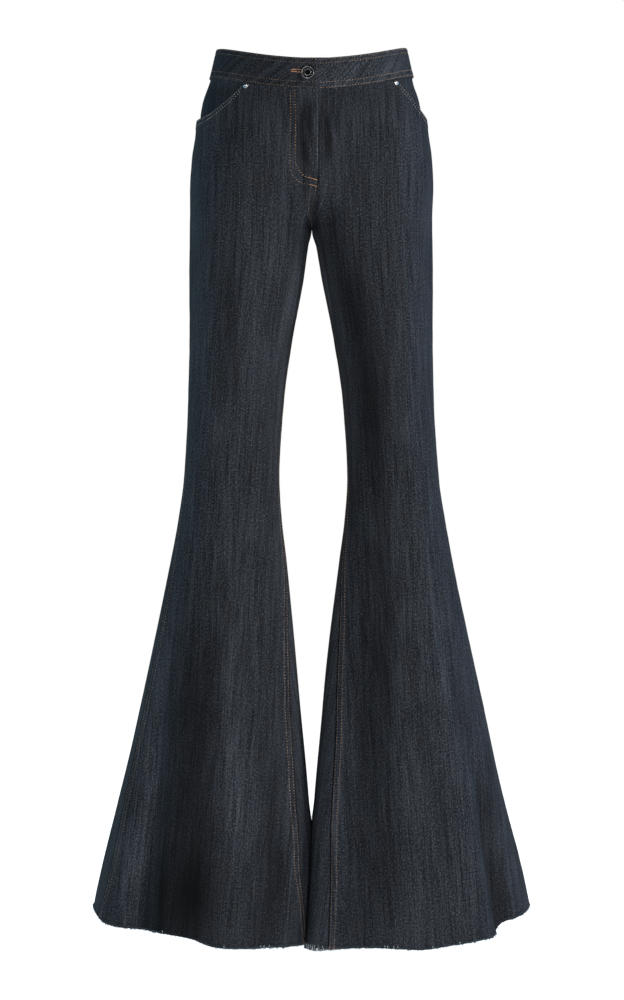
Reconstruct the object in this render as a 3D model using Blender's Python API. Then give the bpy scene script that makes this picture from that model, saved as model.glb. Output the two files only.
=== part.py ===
"""Flared jeans, held open at the waist as when they are worn.

Tables and sizes are in millimetres and degrees; the objects are made in metres.
+Z is up, the front of the jeans faces -Y, and the wearer's left is at +X.
The origin is the centre of the waist opening, half way up the waistband at the sides.
"""

import math

import bmesh
import bpy
import numpy as np
from mathutils import Matrix, Vector

MM = 0.001

# Cloth and seams.
CLOTH = 1.4
SEAM_GAP = 0.3  # clear space kept between two pieces
FELL_WIDTH = 8.0  # the folded allowance of a felled seam, on the front panels
FELL_SLOPE = 1.4  # how far its edge takes to come down
FELL_RISE = 0.8

# Heights of the garment, at the side seams.
WAIST_TOP = 18.0
WAIST_SEAM = -18.0  # the waistband is 36 tall
TOP_ROW = WAIST_SEAM - SEAM_GAP  # the top edge of the panels
SETTLE = -110.0  # below this the rings are no longer bent by the waist or the pockets
FLY_END = -155.0
CROTCH = -209.0
# Above the crotch, the height over which two legs become one hip.
BLEND_FRONT = 48.0
BLEND_BACK = 78.0
BLEND_POWER = 1.5
WAIST_CENTRE = 14.0  # at the waist each side's ring is centred this far from the middle
HEM = -1093.0

# How the waist edge dips at the front and rises at the back.
FRONT_DIP = 23.3
DIP_POWER = 0.9
BACK_RISE = 4.0
SEAM_DIP = 2.6  # the waistband is this much taller at the centre front

# The hips are turned a little, so that the centre front lies at +X.
HIP_TURN = 8.5
# The line between the legs drifts to the side.
DRIFT_COLUMNS = ("z", "side")
DRIFT = (
    (CROTCH, 0.5),
    (-250, 1.6),
    (-485, 2.7),
    (-640, 1.8),
    (-780, 0.3),
    (-962, 0.3),
    (HEM - 25, -9.3),
)

# One row for each section of half the garment. outer and inner are measured from the middle of
# the garment, front and back from the side seams' plane, and centre is where it is widest.
SECTION_COLUMNS = ("z", "outer", "inner", "front", "back", "centre", "square", "inside")
SECTIONS = (
    (18, 120.0, 0.0, 88.0, 86.0, 0.0, 2.10, 2.1),
    (-18, 128.6, 0.0, 92.0, 93.0, 0.0, 2.15, 2.2),
    (-48, 139.0, 0.0, 95.0, 102.0, 1.0, 2.20, 2.4),
    (-84, 145.0, 0.0, 97.0, 111.0, 2.0, 2.25, 2.6),
    (-120, 151.6, 0.0, 98.0, 118.0, 3.0, 2.25, 2.9),
    (-160, 153.7, 0.0, 97.5, 120.0, 4.0, 2.25, 3.0),
    (-209, 153.9, 0.0, 94.0, 115.0, 6.0, 2.20, 3.0),
    (-230, 154.0, 5.0, 92.5, 110.5, 6.0, 2.18, 2.9),
    (-274, 154.3, 12.0, 89.0, 102.0, 6.0, 2.15, 2.6),
    (-350, 154.2, 26.7, 82.0, 92.0, 5.0, 2.10, 2.2),
    (-427, 155.6, 37.5, 73.0, 81.0, 3.0, 2.05, 2.1),
    (-528, 162.0, 43.2, 62.0, 68.0, 2.0, 2.00, 2.0),
    (-579, 169.5, 40.0, 62.0, 69.0, 3.0, 2.00, 2.0),
    (-630, 179.0, 33.7, 65.0, 74.0, 4.0, 2.00, 2.0),
    (-731, 199.6, 22.2, 75.0, 85.0, 5.0, 2.00, 2.0),
    (-833, 221.8, 12.0, 84.0, 95.0, 6.0, 2.00, 2.0),
    (-935, 243.5, 2.4, 91.0, 102.0, 6.0, 2.00, 2.0),
    (-965, 249.8, 0.3, 93.0, 104.0, 6.0, 2.00, 2.0),
    (-1036, 265.5, 0.3, 96.0, 106.0, 6.0, 2.00, 2.0),
    (-1093, 277.0, 0.3, 98.0, 108.0, 6.0, 2.00, 2.0),
)

# How far each leg's seams turn towards the front, in degrees round the leg.
SEAM_COLUMNS = ("z", "outseam", "inseam")
SEAMS = {
    "right": (
        (18, -10, 0),
        (-120, -9, 0),
        (-209, -4, 0),
        (-350, 2, 1),
        (-480, 7, 3),
        (-630, 20, 11),
        (-731, 24, 24),
        (-835, 25, 31),
        (-930, 26, 32),
        (-1000, 27, 28),
        (-1045, 27, 17),
        (-1093, 22, 5),
    ),
    "left": (
        (18, -12, 0),
        (-209, -6, 0),
        (-480, 0, 3),
        (-560, 1, 11),
        (-630, 2, 19),
        (-712, 3, 30),
        (-792, 3, 34),
        (-871, 3, 38),
        (-965, 2, 39),
        (-1093, 2, 40),
    ),
}

# How far the hem is above or below HEM, by the angle round the leg: 0 is the outside of the leg,
# 90 its front and 180 its inside. The back of the hem follows HEM_BACK.
HEM_COLUMNS = ("angle", "rise")
HEM_FRONT = {
    "right": (
        (0, 25),
        (20, 16),
        (40, 7),
        (60, 5),
        (75, 2),
        (88, -3),
        (98, -12),
        (110, -16),
        (125, -18),
        (140, -19),
        (160, -21),
        (180, -23),
    ),
    "left": (
        (0, 26),
        (20, 19),
        (36, 13),
        (45, -2),
        (60, -7),
        (75, -12),
        (90, -16),
        (105, -15),
        (120, -16),
        (140, -21),
        (160, -24),
        (180, -25),
    ),
}
HEM_BACK = ((0, 25), (30, 17), (60, 2), (90, -8), (120, -14), (150, -20), (180, -24))
HEM_REACH = 240.0  # how far above the hem its slope is felt

# Soft folds. Each runs from one angle and height to another round a leg, behind the leg where the
# angle is negative; spread is half its width, and a negative depth is a trough.
FOLD_COLUMNS = ("angle_top", "top", "angle_low", "low", "spread", "depth")
FOLDS = {
    "right": (
        # the flare's front, from the outseam in
        (22, -640, 30, -1093, 8, 3.0),
        (35, -600, 57, -1093, 9, -6.0),
        (88, -600, 101, -1093, 13, 5.5),
        (124, -780, 129, -1093, 9, -4.5),
        (141, -860, 143, -1093, 6, 2.5),
        # its back
        (-50, -620, -58, -1093, 16, -6.0),
        (-85, -660, -92, -1093, 14, 6.0),
        (-118, -640, -122, -1093, 14, -7.0),
        # beside the fly, and the drag lines at the crotch
        (100, -35, 142, -140, 9, -1.8),
        (108, -165, 132, -240, 7, -2.5),
        (60, -150, 84, -330, 15, -1.6),
        # under the seat, behind the knee and over it
        (-60, -175, -115, -250, 14, -4.0),
        (-52, -215, -120, -300, 12, -2.6),
        (-70, -470, -110, -560, 22, -3.0),
        (70, -430, 105, -560, 26, -1.8),
    ),
    "left": (
        (41, -820, 41, -1093, 6, -13.0),
        (56, -640, 60, -1093, 12, 3.5),
        (90, -520, 92, -1093, 14, 4.0),
        (143, -560, 105, -690, 8, -2.0),
        (128, -600, 114, -1010, 10, -4.5),
        (143, -640, 136, -1093, 8, 2.0),
        (-44, -640, -50, -1093, 15, 5.5),
        (-74, -620, -80, -1093, 14, -7.0),
        (-104, -650, -110, -1093, 15, 5.0),
        (-132, -640, -140, -1093, 12, -6.0),
        (118, -165, 134, -250, 8, -3.0),
        (66, -130, 92, -330, 16, -1.5),
        (-58, -180, -112, -258, 15, -4.0),
        (-66, -225, -124, -305, 11, -2.4),
        (-66, -480, -108, -570, 22, -2.8),
        (72, -440, 100, -575, 24, -1.6),
    ),
}
FOLD_CLEAR = 18.0  # the folds die out this close to the middle of the garment
FOLD_GROWTH = 0.8  # share of its length over which a fold that runs out at the hem comes in
FOLD_ENDS = 0.35  # the same for each end of the others

# Scoop pockets. angle is where the mouth leaves the waist seam, power how fast it curves out,
# gape how far the mouth stands off, and sink how far the facing lies behind it.
POCKET_COLUMNS = ("angle", "depth", "power", "gape", "sink")
POCKETS = {"right": (51.0, 55.0, 5.0, 2.8, 2.6), "left": (43.0, 57.0, 4.1, 2.2, 2.4)}
MOUTH_REACH = 22.0  # how far down the panel the gape is felt
MOUTH_HELD = 14.0  # how near to the outseam the mouth lies flat again
FACING_CLEAR = 0.6
FACING_UNDER = 20.0  # how far the facing runs on below the mouth
FACING_FALL = 14.0  # how far down it is fully sunk
FACING_LAP = 4.0  # degrees that it runs on at its ends, under the front and back panels
# Shares of the mouth's length, from its inner end.
GAPE_FULL = 0.5  # from here on it stands off fully
SINK_FULL = 0.3  # from here on the facing is fully sunk
SINK_END = 0.45  # from here on it rises again towards the outseam

# Fly: the wearer's right front laps over the left front.
FLY_WIDTH = 35.0
FLY_RISE = 0.9
FLY_TUCK = 1.2
TUCK_WIDTH = 7.0
FLY_SLOPE = 5.0
FLY_FADE = 12.0

# Waistband.
BAND_PROUD = 0.8
BAND_WALL = 2.8
BAND_UNDERLAP = 30.0  # its end runs on under the lap
BAND_DIVE = 3.3
BAND_DIVE_RUN = 22.0  # how far it takes to come level again

# How far apart the points are from which the cloth's slope is taken.
TURN_STEP = 0.4
RISE_STEP = 1.0
HIP_END = 179.99  # above the crotch the rings end at the middle of the garment

# Metal.
BUTTON_RADIUS = 8.6
BUTTON_FROM_EDGE = 13.2
BUTTON_CLEAR = 0.75
RIVET_RADIUS = 3.7
RIVET_CLEAR = 0.4
RIVET_TURN = 2.0  # degrees from the end of the mouth
# Outlines from the underside round to the middle of the top; radius is a share of the piece's own.
PROFILE_COLUMNS = ("radius", "height")
BUTTON_PROFILE = (
    (0.0, 0.0),
    (0.30, 0.0),
    (0.32, 0.5),
    (0.88, 0.7),
    (1.0, 1.5),
    (0.97, 2.5),
    (0.86, 3.1),
    (0.74, 2.7),
    (0.68, 2.0),
    (0.56, 2.0),
    (0.48, 2.8),
    (0.38, 2.9),
    (0.30, 2.3),
    (0.22, 1.6),
    (0.0, 1.4),
)
RIVET_PROFILE = (
    (0.0, 0.0),
    (0.9, 0.0),
    (1.0, 0.5),
    (0.85, 1.1),
    (0.5, 1.2),
    (0.36, 2.0),
    (0.0, 2.3),
)

# Mesh density.
FRONT_COLUMNS = 17
BACK_COLUMNS = 13
BAND_COLUMNS = 41
FACING_COLUMNS = 13
FACING_ROWS = 7
BAND_ROWS = 4
UNDERLAP_COLUMNS = 5
BUTTON_SEGMENTS = 28
RIVET_SEGMENTS = 18
RING_SAMPLES = 361  # along a ring, to measure the cloth round it
SHARP_ANGLE = 40.0  # edges that turn more than this stay sharp
# Rows of the panels: top of the band, its foot, and how many rows are in it.
ROW_BANDS = (
    (TOP_ROW, SETTLE, 5),
    (SETTLE, CROTCH, 8),
    (CROTCH, -274.0, 4),
    (-274.0, -528.0, 7),
    (-528.0, -850.0, 8),
    (-850.0, HEM, 8),
)

SIDES = {"left": 1, "right": -1}

DENIM = ("denim", (0.022, 0.028, 0.038), 0.85, 0.0)
DARK_METAL = ("dark_metal", (0.09, 0.09, 0.10), 0.30, 1.0)
BRIGHT_METAL = ("bright_metal", (0.42, 0.42, 0.44), 0.25, 1.0)


# ---------------------------------------------------------------- shape of the garment


def step(t):
    """0 to 1 with soft ends, as t goes from 0 to 1."""
    t = np.clip(t, 0.0, 1.0)
    return t * t * (3.0 - 2.0 * t)


def read_table(rows, column, at):
    """A column of a table, smoothly between its rows, which run in order of their first column."""
    table = np.array(rows, float)
    if table[0, 0] > table[-1, 0]:
        table = table[::-1]
    x, y = table[:, 0], table[:, column]
    slope = np.diff(y) / np.diff(x)
    before, after = slope[:-1], slope[1:]
    both = before * after > 0
    total = np.where(both, before + after, 1.0)
    inner = np.where(both, 2.0 * before * after / total, 0.0)
    tangent = np.concatenate([[slope[0]], inner, [slope[-1]]])
    at = np.clip(np.asarray(at, float), x[0], x[-1])
    i = np.clip(np.searchsorted(x, at) - 1, 0, len(x) - 2)
    width = x[i + 1] - x[i]
    t = (at - x[i]) / width
    return (
        y[i] * (1 + 2 * t) * (1 - t) ** 2
        + tangent[i] * width * t * (1 - t) ** 2
        + y[i + 1] * t * t * (3 - 2 * t)
        + tangent[i + 1] * width * t * t * (t - 1)
    )


def parting(is_front, z):
    """0 where the hips are one ring, and 1 at the crotch, where they are two."""
    reach = np.where(is_front, BLEND_FRONT, BLEND_BACK)
    return 1.0 - np.clip((z - CROTCH) / reach, 0.0, 1.0) ** BLEND_POWER


def section(z):
    """Centre of one leg's ring, its reach outward and inward, its depths and squareness."""
    outer, inner, front, back, middle, square, inside = (
        read_table(SECTIONS, SECTION_COLUMNS.index(name), z) for name in SECTION_COLUMNS[1:]
    )
    low = step((WAIST_TOP - z) / (WAIST_TOP - CROTCH))
    hip_centre = WAIST_CENTRE + (outer / 2 - WAIST_CENTRE) * low
    centre = np.where(z < CROTCH, (outer + inner) / 2, hip_centre)
    return centre, outer - centre, centre - inner, middle, front, back, square, inside


def wrapped(angle):
    return (np.asarray(angle, float) + 180.0) % 360.0 - 180.0


def hem_rise(side, angle):
    angle = wrapped(angle)
    front = read_table(HEM_FRONT[side], 1, np.abs(angle))
    back = read_table(HEM_BACK, 1, np.abs(angle))
    return np.where(angle >= 0, front, back)


def folds(side, angle, z):
    """How far the folds push the cloth out or in."""
    total = np.zeros(np.broadcast(angle, z).shape)
    for row in FOLDS[side]:
        fold = dict(zip(FOLD_COLUMNS, row))
        along = (fold["top"] - z) / (fold["top"] - fold["low"])
        line = fold["angle_top"] + np.clip(along, 0, 1) * (
            fold["angle_low"] - fold["angle_top"]
        )
        across = wrapped(angle - line) / fold["spread"]
        if fold["low"] == HEM:
            fade = step(along / FOLD_GROWTH)
        else:
            fade = step(along / FOLD_ENDS) * step((1 - along) / FOLD_ENDS)
        total = total + fold["depth"] * fade * np.exp(-across * across)
    return total


def ring(angle, z):
    """A point of one leg's ring, before folds, and its bearings to the side and the front."""
    centre, outward, inward, middle, front, back, square, inside = section(z)
    cos, sin = np.cos(np.radians(angle)), np.sin(np.radians(angle))
    square = np.where(cos < 0, inside, square)
    wide = np.sign(cos) * np.abs(cos) ** (2 / square)
    parted = np.where(cos < 0, parting(angle >= 0, z), 1.0)
    bow = np.clip(1.0 - (parted * np.abs(wide)) ** square, 0.0, 1.0)
    deep = np.sign(sin) * bow ** (1 / square)
    x = centre + np.where(cos < 0, inward, outward) * wide
    y = middle - np.where(deep > 0, front + middle, back - middle) * deep
    return x, y, wide, deep


def bent(side, angle, z):
    """How the waist and hem rise and fall, and how the hips turn and the flares drift."""
    x, _, wide, deep = ring(angle, z)
    turn = HIP_TURN * step((z - CROTCH) / (FLY_END - CROTCH)) * deep
    across = (SIDES[side] * x + turn / 2) / read_table(SECTIONS, 1, z)
    bow = np.clip(1.0 - across**2, 0.0, 1.0) ** DIP_POWER
    front_dip = FRONT_DIP + SEAM_DIP * step((WAIST_TOP - z) / (WAIST_TOP - WAIST_SEAM))
    dip = np.where(deep > 0, -front_dip, BACK_RISE) * bow
    waist = step((z - SETTLE) / (WAIST_SEAM - SETTLE)) * dip
    foot = step((HEM + HEM_REACH - z) / HEM_REACH) * hem_rise(side, angle)
    drift = read_table(DRIFT, DRIFT_COLUMNS.index("side"), z) * (1 - wide) / 2
    drift = drift * parting(angle >= 0, z)
    return waist, foot, turn + drift


def surface(side, angle, z):
    """A point of the cloth's outer face."""
    angle, z = np.broadcast_arrays(np.asarray(angle, float), np.asarray(z, float))
    x, y, _, _ = ring(angle, z)
    waist, foot, shift = bent(side, angle, z)
    out = folds(side, angle, z) * step(x / FOLD_CLEAR)
    x = x + out * np.cos(np.radians(angle))
    y = y - out * np.sin(np.radians(angle))
    return np.stack([SIDES[side] * x + shift, y, z + waist + foot], axis=-1)


def facing_out(side, angle, z):
    """Unit vectors at right angles to the cloth."""
    angle, z = np.broadcast_arrays(np.asarray(angle, float), np.asarray(z, float))
    end = np.where(z < CROTCH, 360.0, HIP_END)
    ahead = np.minimum(angle + TURN_STEP, end)
    behind = np.maximum(angle - TURN_STEP, -end)
    low = np.maximum(z - RISE_STEP, HEM)
    around = surface(side, ahead, z) - surface(side, behind, z)
    along = surface(side, angle, low + 2.0 * RISE_STEP) - surface(side, angle, low)
    normal = np.cross(around, along) * -SIDES[side]
    return normal / np.linalg.norm(normal, axis=-1, keepdims=True)


def seam_angle(side, name, z):
    return read_table(SEAMS[side], SEAM_COLUMNS.index(name), z)


def top_edge(side, is_front, angle):
    """Height of a panel's top edge, and how far along the pocket's mouth each point is."""
    level = np.full(np.shape(angle), TOP_ROW)
    if not is_front:
        return level, np.zeros_like(level)
    pocket = dict(zip(POCKET_COLUMNS, POCKETS[side]))
    outseam = seam_angle(side, "outseam", TOP_ROW - pocket["depth"])
    along = np.clip((pocket["angle"] - angle) / (pocket["angle"] - outseam), 0.0, 1.0)
    fall = pocket["depth"] * (1.0 - (1.0 - along) ** pocket["power"])
    return level - fall, along


def row_height(side, is_front, angle, z):
    """Height of a panel's row; the rows near the waist follow the panel's top edge."""
    top, _ = top_edge(side, is_front, angle)
    share = (z - SETTLE) / (TOP_ROW - SETTLE)
    return np.where(z > SETTLE, SETTLE + share * (top - SETTLE), z)


def panel_limits(side, is_front, z):
    """Angles of a panel's inner edge and of its outseam along one of its rows."""
    way = 180.0 if is_front else -180.0
    low_end = row_height(side, is_front, np.array(-90.0), z)
    inner = way - seam_angle(side, "inseam", z)
    return float(inner), float(seam_angle(side, "outseam", low_end))


def own_side(side, points, angle, z):
    """Keeps the points off the middle of the garment, where the two legs press together."""
    _, _, shift = bent(side, angle, z)
    across = SIDES[side] * (points[..., 0] - shift)
    points[..., 0] = shift + SIDES[side] * np.maximum(across, SEAM_GAP / 2)
    return points


# ---------------------------------------------------------------- solids from rings


def row_heights():
    """Even rows in each band, but closer and closer together down to the crotch."""
    heights = [ROW_BANDS[0][0]]
    for top, low, count in ROW_BANDS:
        share = np.linspace(0.0, 1.0, count + 1)[1:]
        if low == CROTCH:
            share = 1.0 - (1.0 - share) ** 2
        heights += list(top + (low - top) * share)
    return heights


def along_ring(side, start, end, height_at):
    """Angles along a ring, and how far along the cloth each of them is."""
    angle = np.linspace(start, end, RING_SAMPLES)
    points = surface(side, angle, height_at(angle))
    steps = np.linalg.norm(np.diff(points, axis=0), axis=1)
    return angle, np.concatenate([[0.0], np.cumsum(steps)])


def columns_of(side, is_front, z):
    """Angles at even distances along a panel's row, close together at the felled seams."""
    ends = panel_limits(side, is_front, z)
    angle, along = along_ring(
        side, *ends, lambda angle: row_height(side, is_front, angle, z)
    )
    width = along[-1]
    edge = [SEAM_GAP / 2, FELL_WIDTH, FELL_WIDTH + FELL_SLOPE]
    count = FRONT_COLUMNS if is_front else BACK_COLUMNS
    middle = np.linspace(edge[-1], width - edge[-1], count)[1:-1]
    places = np.concatenate([edge, middle, width - np.array(edge[::-1])])
    return np.interp(places, along, angle), places, width - places


def relief(side, is_front, from_inner, from_outer, z, below, along_mouth):
    """How far a panel stands off its base, and the ridges that lie on its outer face only."""
    lift, ridge = np.zeros_like(from_inner), np.zeros_like(from_inner)
    if not is_front:
        return lift, ridge
    felled = (from_outer <= FELL_WIDTH) | ((z < FLY_END) & (from_inner <= FELL_WIDTH))
    ridge = FELL_RISE * felled
    pocket = dict(zip(POCKET_COLUMNS, POCKETS[side]))
    mouth = np.exp(-((below / MOUTH_REACH) ** 2)) * step(along_mouth / GAPE_FULL)
    lift = pocket["gape"] * mouth * step(from_outer / MOUTH_HELD)
    fade = step((z - FLY_END) / FLY_FADE)
    if side == "right":
        ridge = ridge + FLY_RISE * step((FLY_WIDTH - from_inner) / FLY_SLOPE) * fade
    else:
        lift = lift - FLY_TUCK * step((TUCK_WIDTH - from_inner) / FLY_SLOPE) * fade
    return lift, ridge


def loft(name, outer, inner, material):
    """A closed wall between two grids of points, each a list of rows."""
    mesh = bmesh.new()
    rows, columns = outer.shape[:2]
    skins = [
        [[mesh.verts.new(Vector(p) * MM) for p in row] for row in grid]
        for grid in (outer, inner)
    ]
    for skin in skins:
        for i in range(rows - 1):
            for j in range(columns - 1):
                corner = (skin[i][j], skin[i + 1][j], skin[i + 1][j + 1], skin[i][j + 1])
                mesh.faces.new(corner)
    rim = [(0, j) for j in range(columns)]
    rim += [(i, columns - 1) for i in range(1, rows)]
    rim += [(rows - 1, j) for j in range(columns - 2, -1, -1)]
    rim += [(i, 0) for i in range(rows - 2, 0, -1)]
    for here, there in zip(rim, rim[1:] + rim[:1]):
        a, b = (skins[0][i][j] for i, j in (here, there))
        c, d = (skins[1][i][j] for i, j in (there, here))
        mesh.faces.new((a, b, c, d))
    bmesh.ops.recalc_face_normals(mesh, faces=mesh.faces)
    return finish(name, mesh, material)


def finish(name, mesh, material):
    data = bpy.data.meshes.new(name)
    mesh.to_mesh(data)
    mesh.free()
    data.materials.append(material)
    data.shade_smooth()
    data.set_sharp_from_angle(angle=math.radians(SHARP_ANGLE))
    made = bpy.data.objects.new(name, data)
    bpy.context.scene.collection.objects.link(made)
    made.parent = bpy.data.objects["jeans"]
    return made


def panel(name, side, is_front, material):
    outer, inner = [], []
    for z in row_heights():
        angle, from_inner, from_outer = columns_of(side, is_front, z)
        top, along_mouth = top_edge(side, is_front, angle)
        height = row_height(side, is_front, angle, z)
        below = top - height
        lift, ridge = relief(
            side, is_front, from_inner, from_outer, height, below, along_mouth
        )
        normal = facing_out(side, angle, height)
        base = surface(side, angle, height)
        skin = base + normal * (lift + ridge)[:, None]
        outer.append(own_side(side, skin, angle, height))
        lining = base + normal * (lift - CLOTH)[:, None]
        inner.append(own_side(side, lining, angle, height))
    return loft(name, np.array(outer), np.array(inner), material)


def pocket_facing(name, side, material):
    """The panel that shows in the pocket's mouth and runs on a little way behind the front."""
    pocket = dict(zip(POCKET_COLUMNS, POCKETS[side]))
    outseam = seam_angle(side, "outseam", TOP_ROW - pocket["depth"])
    ends = (pocket["angle"] + FACING_LAP, outseam - FACING_LAP)
    angle = np.linspace(*ends, FACING_COLUMNS)
    mouth, along_mouth = top_edge(side, True, angle)
    outer, inner = [], []
    for share in np.linspace(0.0, 1.0, FACING_ROWS):
        height = TOP_ROW + share * (mouth - FACING_UNDER - TOP_ROW)
        sunk = step((TOP_ROW - height) / FACING_FALL) * step(along_mouth / SINK_FULL)
        sunk = sunk * step((1.0 - along_mouth) / (1.0 - SINK_END))
        back = CLOTH + FACING_CLEAR + pocket["sink"] * sunk
        normal = facing_out(side, angle, height)
        base = surface(side, angle, height)
        outer.append(base - normal * back[:, None])
        inner.append(base - normal * (back + CLOTH)[:, None])
    return loft(name, np.array(outer), np.array(inner), material)


def waistband(material):
    """One strip all round, whose end runs on under the lap at the centre front."""
    angle, along = along_ring("left", 180.0, -180.0, lambda angle: np.zeros_like(angle))
    half = np.interp(np.linspace(0.0, along[-1], BAND_COLUMNS), along, angle)
    under = np.interp(np.linspace(BAND_UNDERLAP, 0.0, UNDERLAP_COLUMNS), along, angle)
    run = [("right", a) for a in under] + [("left", a) for a in half[1:]]
    run += [("right", a) for a in half[-2::-1]]
    outer, inner = [], []
    for number, (side, angle_here) in enumerate(run):
        past = np.interp(-angle_here, -angle, along)
        dive = BAND_DIVE if number < len(under) else 0.0
        if side == "left":
            dive = BAND_DIVE * step(1.0 - past / BAND_DIVE_RUN)
        heights = np.linspace(WAIST_TOP, WAIST_SEAM, BAND_ROWS)
        base = surface(side, angle_here, heights)
        normal = facing_out(side, angle_here, heights)
        outer.append(base + normal * (BAND_PROUD - dive))
        inner.append(base + normal * (BAND_PROUD - dive - BAND_WALL))
    return loft("waistband", np.array(outer), np.array(inner), material)


def turned(name, profile, radius, segments, material):
    """A solid of revolution about its own Z axis."""
    mesh = bmesh.new()
    chain = [mesh.verts.new((r * radius * MM, 0.0, z * MM)) for r, z in profile]
    edges = [mesh.edges.new(pair) for pair in zip(chain, chain[1:])]
    bmesh.ops.spin(
        mesh,
        geom=chain + edges,
        axis=(0, 0, 1),
        cent=(0, 0, 0),
        steps=segments,
        angle=math.tau,
    )
    bmesh.ops.remove_doubles(mesh, verts=mesh.verts, dist=0.01 * MM)
    bmesh.ops.recalc_face_normals(mesh, faces=mesh.faces)
    return finish(name, mesh, material)


def seat(piece, side, angle, z, off):
    """Places a turned piece on the cloth, its axis at right angles to it."""
    point = surface(side, angle, z)
    normal = facing_out(side, np.array(angle), np.array(z))
    place = Vector(point + normal * off) * MM
    turn = Vector(normal).to_track_quat("Z", "Y")
    piece.matrix_local = Matrix.LocRotScale(place, turn, None)


def button(material):
    made = turned("waist_button", BUTTON_PROFILE, BUTTON_RADIUS, BUTTON_SEGMENTS, material)
    angle, along = along_ring("right", 180.0, 0.0, lambda angle: np.zeros_like(angle))
    angle = float(np.interp(BUTTON_FROM_EDGE, along, angle))
    seat(made, "right", angle, 0.0, BAND_PROUD + BUTTON_CLEAR)
    return made


def rivet(side, material):
    name = f"pocket_rivet_{side}"
    made = turned(name, RIVET_PROFILE, RIVET_RADIUS, RIVET_SEGMENTS, material)
    pocket = dict(zip(POCKET_COLUMNS, POCKETS[side]))
    height = TOP_ROW - RIVET_RADIUS - SEAM_GAP
    seat(made, side, pocket["angle"] + RIVET_TURN, height, RIVET_CLEAR)
    return made


# ---------------------------------------------------------------- the jeans


def metal_or_cloth(name, colour, roughness, metallic):
    material = bpy.data.materials.new(name)
    material.use_nodes = True
    shader = material.node_tree.nodes["Principled BSDF"]
    shader.inputs["Base Color"].default_value = (*colour, 1.0)
    shader.inputs["Roughness"].default_value = roughness
    shader.inputs["Metallic"].default_value = metallic
    return material


def clear_scene():
    for old in list(bpy.data.objects):
        bpy.data.objects.remove(old, do_unlink=True)


def main():
    clear_scene()
    root = bpy.data.objects.new("jeans", None)
    bpy.context.scene.collection.objects.link(root)
    denim = metal_or_cloth(*DENIM)
    dark = metal_or_cloth(*DARK_METAL)
    bright = metal_or_cloth(*BRIGHT_METAL)
    for side in SIDES:
        panel(f"front_{side}", side, True, denim)
        panel(f"back_{side}", side, False, denim)
        pocket_facing(f"pocket_facing_{side}", side, denim)
        rivet(side, bright)
    waistband(denim)
    button(dark)


main()
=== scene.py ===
import math
from functools import partialmethod

import bmesh
import bpy
import numpy as np
from mathutils import Matrix, Vector, noise


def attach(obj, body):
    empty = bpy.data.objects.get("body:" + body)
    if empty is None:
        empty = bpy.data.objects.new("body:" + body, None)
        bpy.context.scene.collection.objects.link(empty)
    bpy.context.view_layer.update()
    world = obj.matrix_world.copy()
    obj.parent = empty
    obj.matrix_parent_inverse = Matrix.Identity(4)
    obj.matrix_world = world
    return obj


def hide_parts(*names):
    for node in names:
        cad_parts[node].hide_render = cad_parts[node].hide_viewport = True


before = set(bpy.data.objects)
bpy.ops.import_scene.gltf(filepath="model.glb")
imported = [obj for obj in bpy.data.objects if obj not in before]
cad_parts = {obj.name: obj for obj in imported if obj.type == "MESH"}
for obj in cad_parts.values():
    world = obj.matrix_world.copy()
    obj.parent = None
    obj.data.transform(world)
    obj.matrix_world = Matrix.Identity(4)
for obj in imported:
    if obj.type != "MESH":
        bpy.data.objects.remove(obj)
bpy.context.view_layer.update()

mm = 0.001
print("frame loaded:", ", ".join(sorted(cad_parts)))

# Sizes are in millimetres and degrees. The front faces -Y and the wearer's left is at +X.
# Angles run round one leg: 0 is its outside, 90 its front, 180 its inside, negative behind.
jeans = {
    "cloth": 1.4, "seamGap": 0.3, "waistTop": 18.0, "waistSeam": -18.0, "settle": -110.0,
    "flyEnd": -155.0, "crotch": -209.0, "hem": -1093.0,
    "blendFront": 48.0, "blendBack": 78.0, "blendPower": 1.5, "waistCentre": 14.0,
    "frontDip": 23.3, "dipPower": 0.9, "backRise": 4.0, "seamDip": 2.6, "hipTurn": 8.5,
    "hemReach": 240.0, "foldClear": 18.0, "foldGrowth": 0.8, "foldEnds": 0.35, "dent": 0.9,
}
topRow = jeans["waistSeam"] - jeans["seamGap"]
sides = {"left": 1, "right": -1}

# Half the garment, row by row: height, reach to the outside and the inside, depth in front and
# behind, the depths' centre, and how square it is outside and inside.
sections = (
    (18, 120, 0, 88, 86, 0, 2.1, 2.1), (-18, 128.6, 0, 92, 93, 0, 2.15, 2.2),
    (-48, 139, 0, 95, 102, 1, 2.2, 2.4), (-84, 145, 0, 97, 111, 2, 2.25, 2.6),
    (-120, 151.6, 0, 98, 118, 3, 2.25, 2.9), (-160, 153.7, 0, 97.5, 120, 4, 2.25, 3),
    (-209, 153.9, 0, 94, 115, 6, 2.2, 3), (-230, 154, 5, 92.5, 110.5, 6, 2.18, 2.9),
    (-274, 154.3, 12, 89, 102, 6, 2.15, 2.6), (-350, 154.2, 26.7, 82, 92, 5, 2.1, 2.2),
    (-427, 155.6, 37.5, 73, 81, 3, 2.05, 2.1), (-528, 162, 43.2, 62, 68, 2, 2, 2),
    (-579, 169.5, 40, 62, 69, 3, 2, 2), (-630, 179, 33.7, 65, 74, 4, 2, 2),
    (-731, 199.6, 22.2, 75, 85, 5, 2, 2), (-833, 221.8, 12, 84, 95, 6, 2, 2),
    (-935, 243.5, 2.4, 91, 102, 6, 2, 2), (-965, 249.8, 0.3, 93, 104, 6, 2, 2),
    (-1036, 265.5, 0.3, 96, 106, 6, 2, 2), (-1093, 277, 0.3, 98, 108, 6, 2, 2),
)
legDrift = (
    (-209, 0.5), (-250, 1.6), (-485, 2.7), (-640, 1.8), (-780, 0.3), (-962, 0.3), (-1118, -9.3),
)

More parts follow.
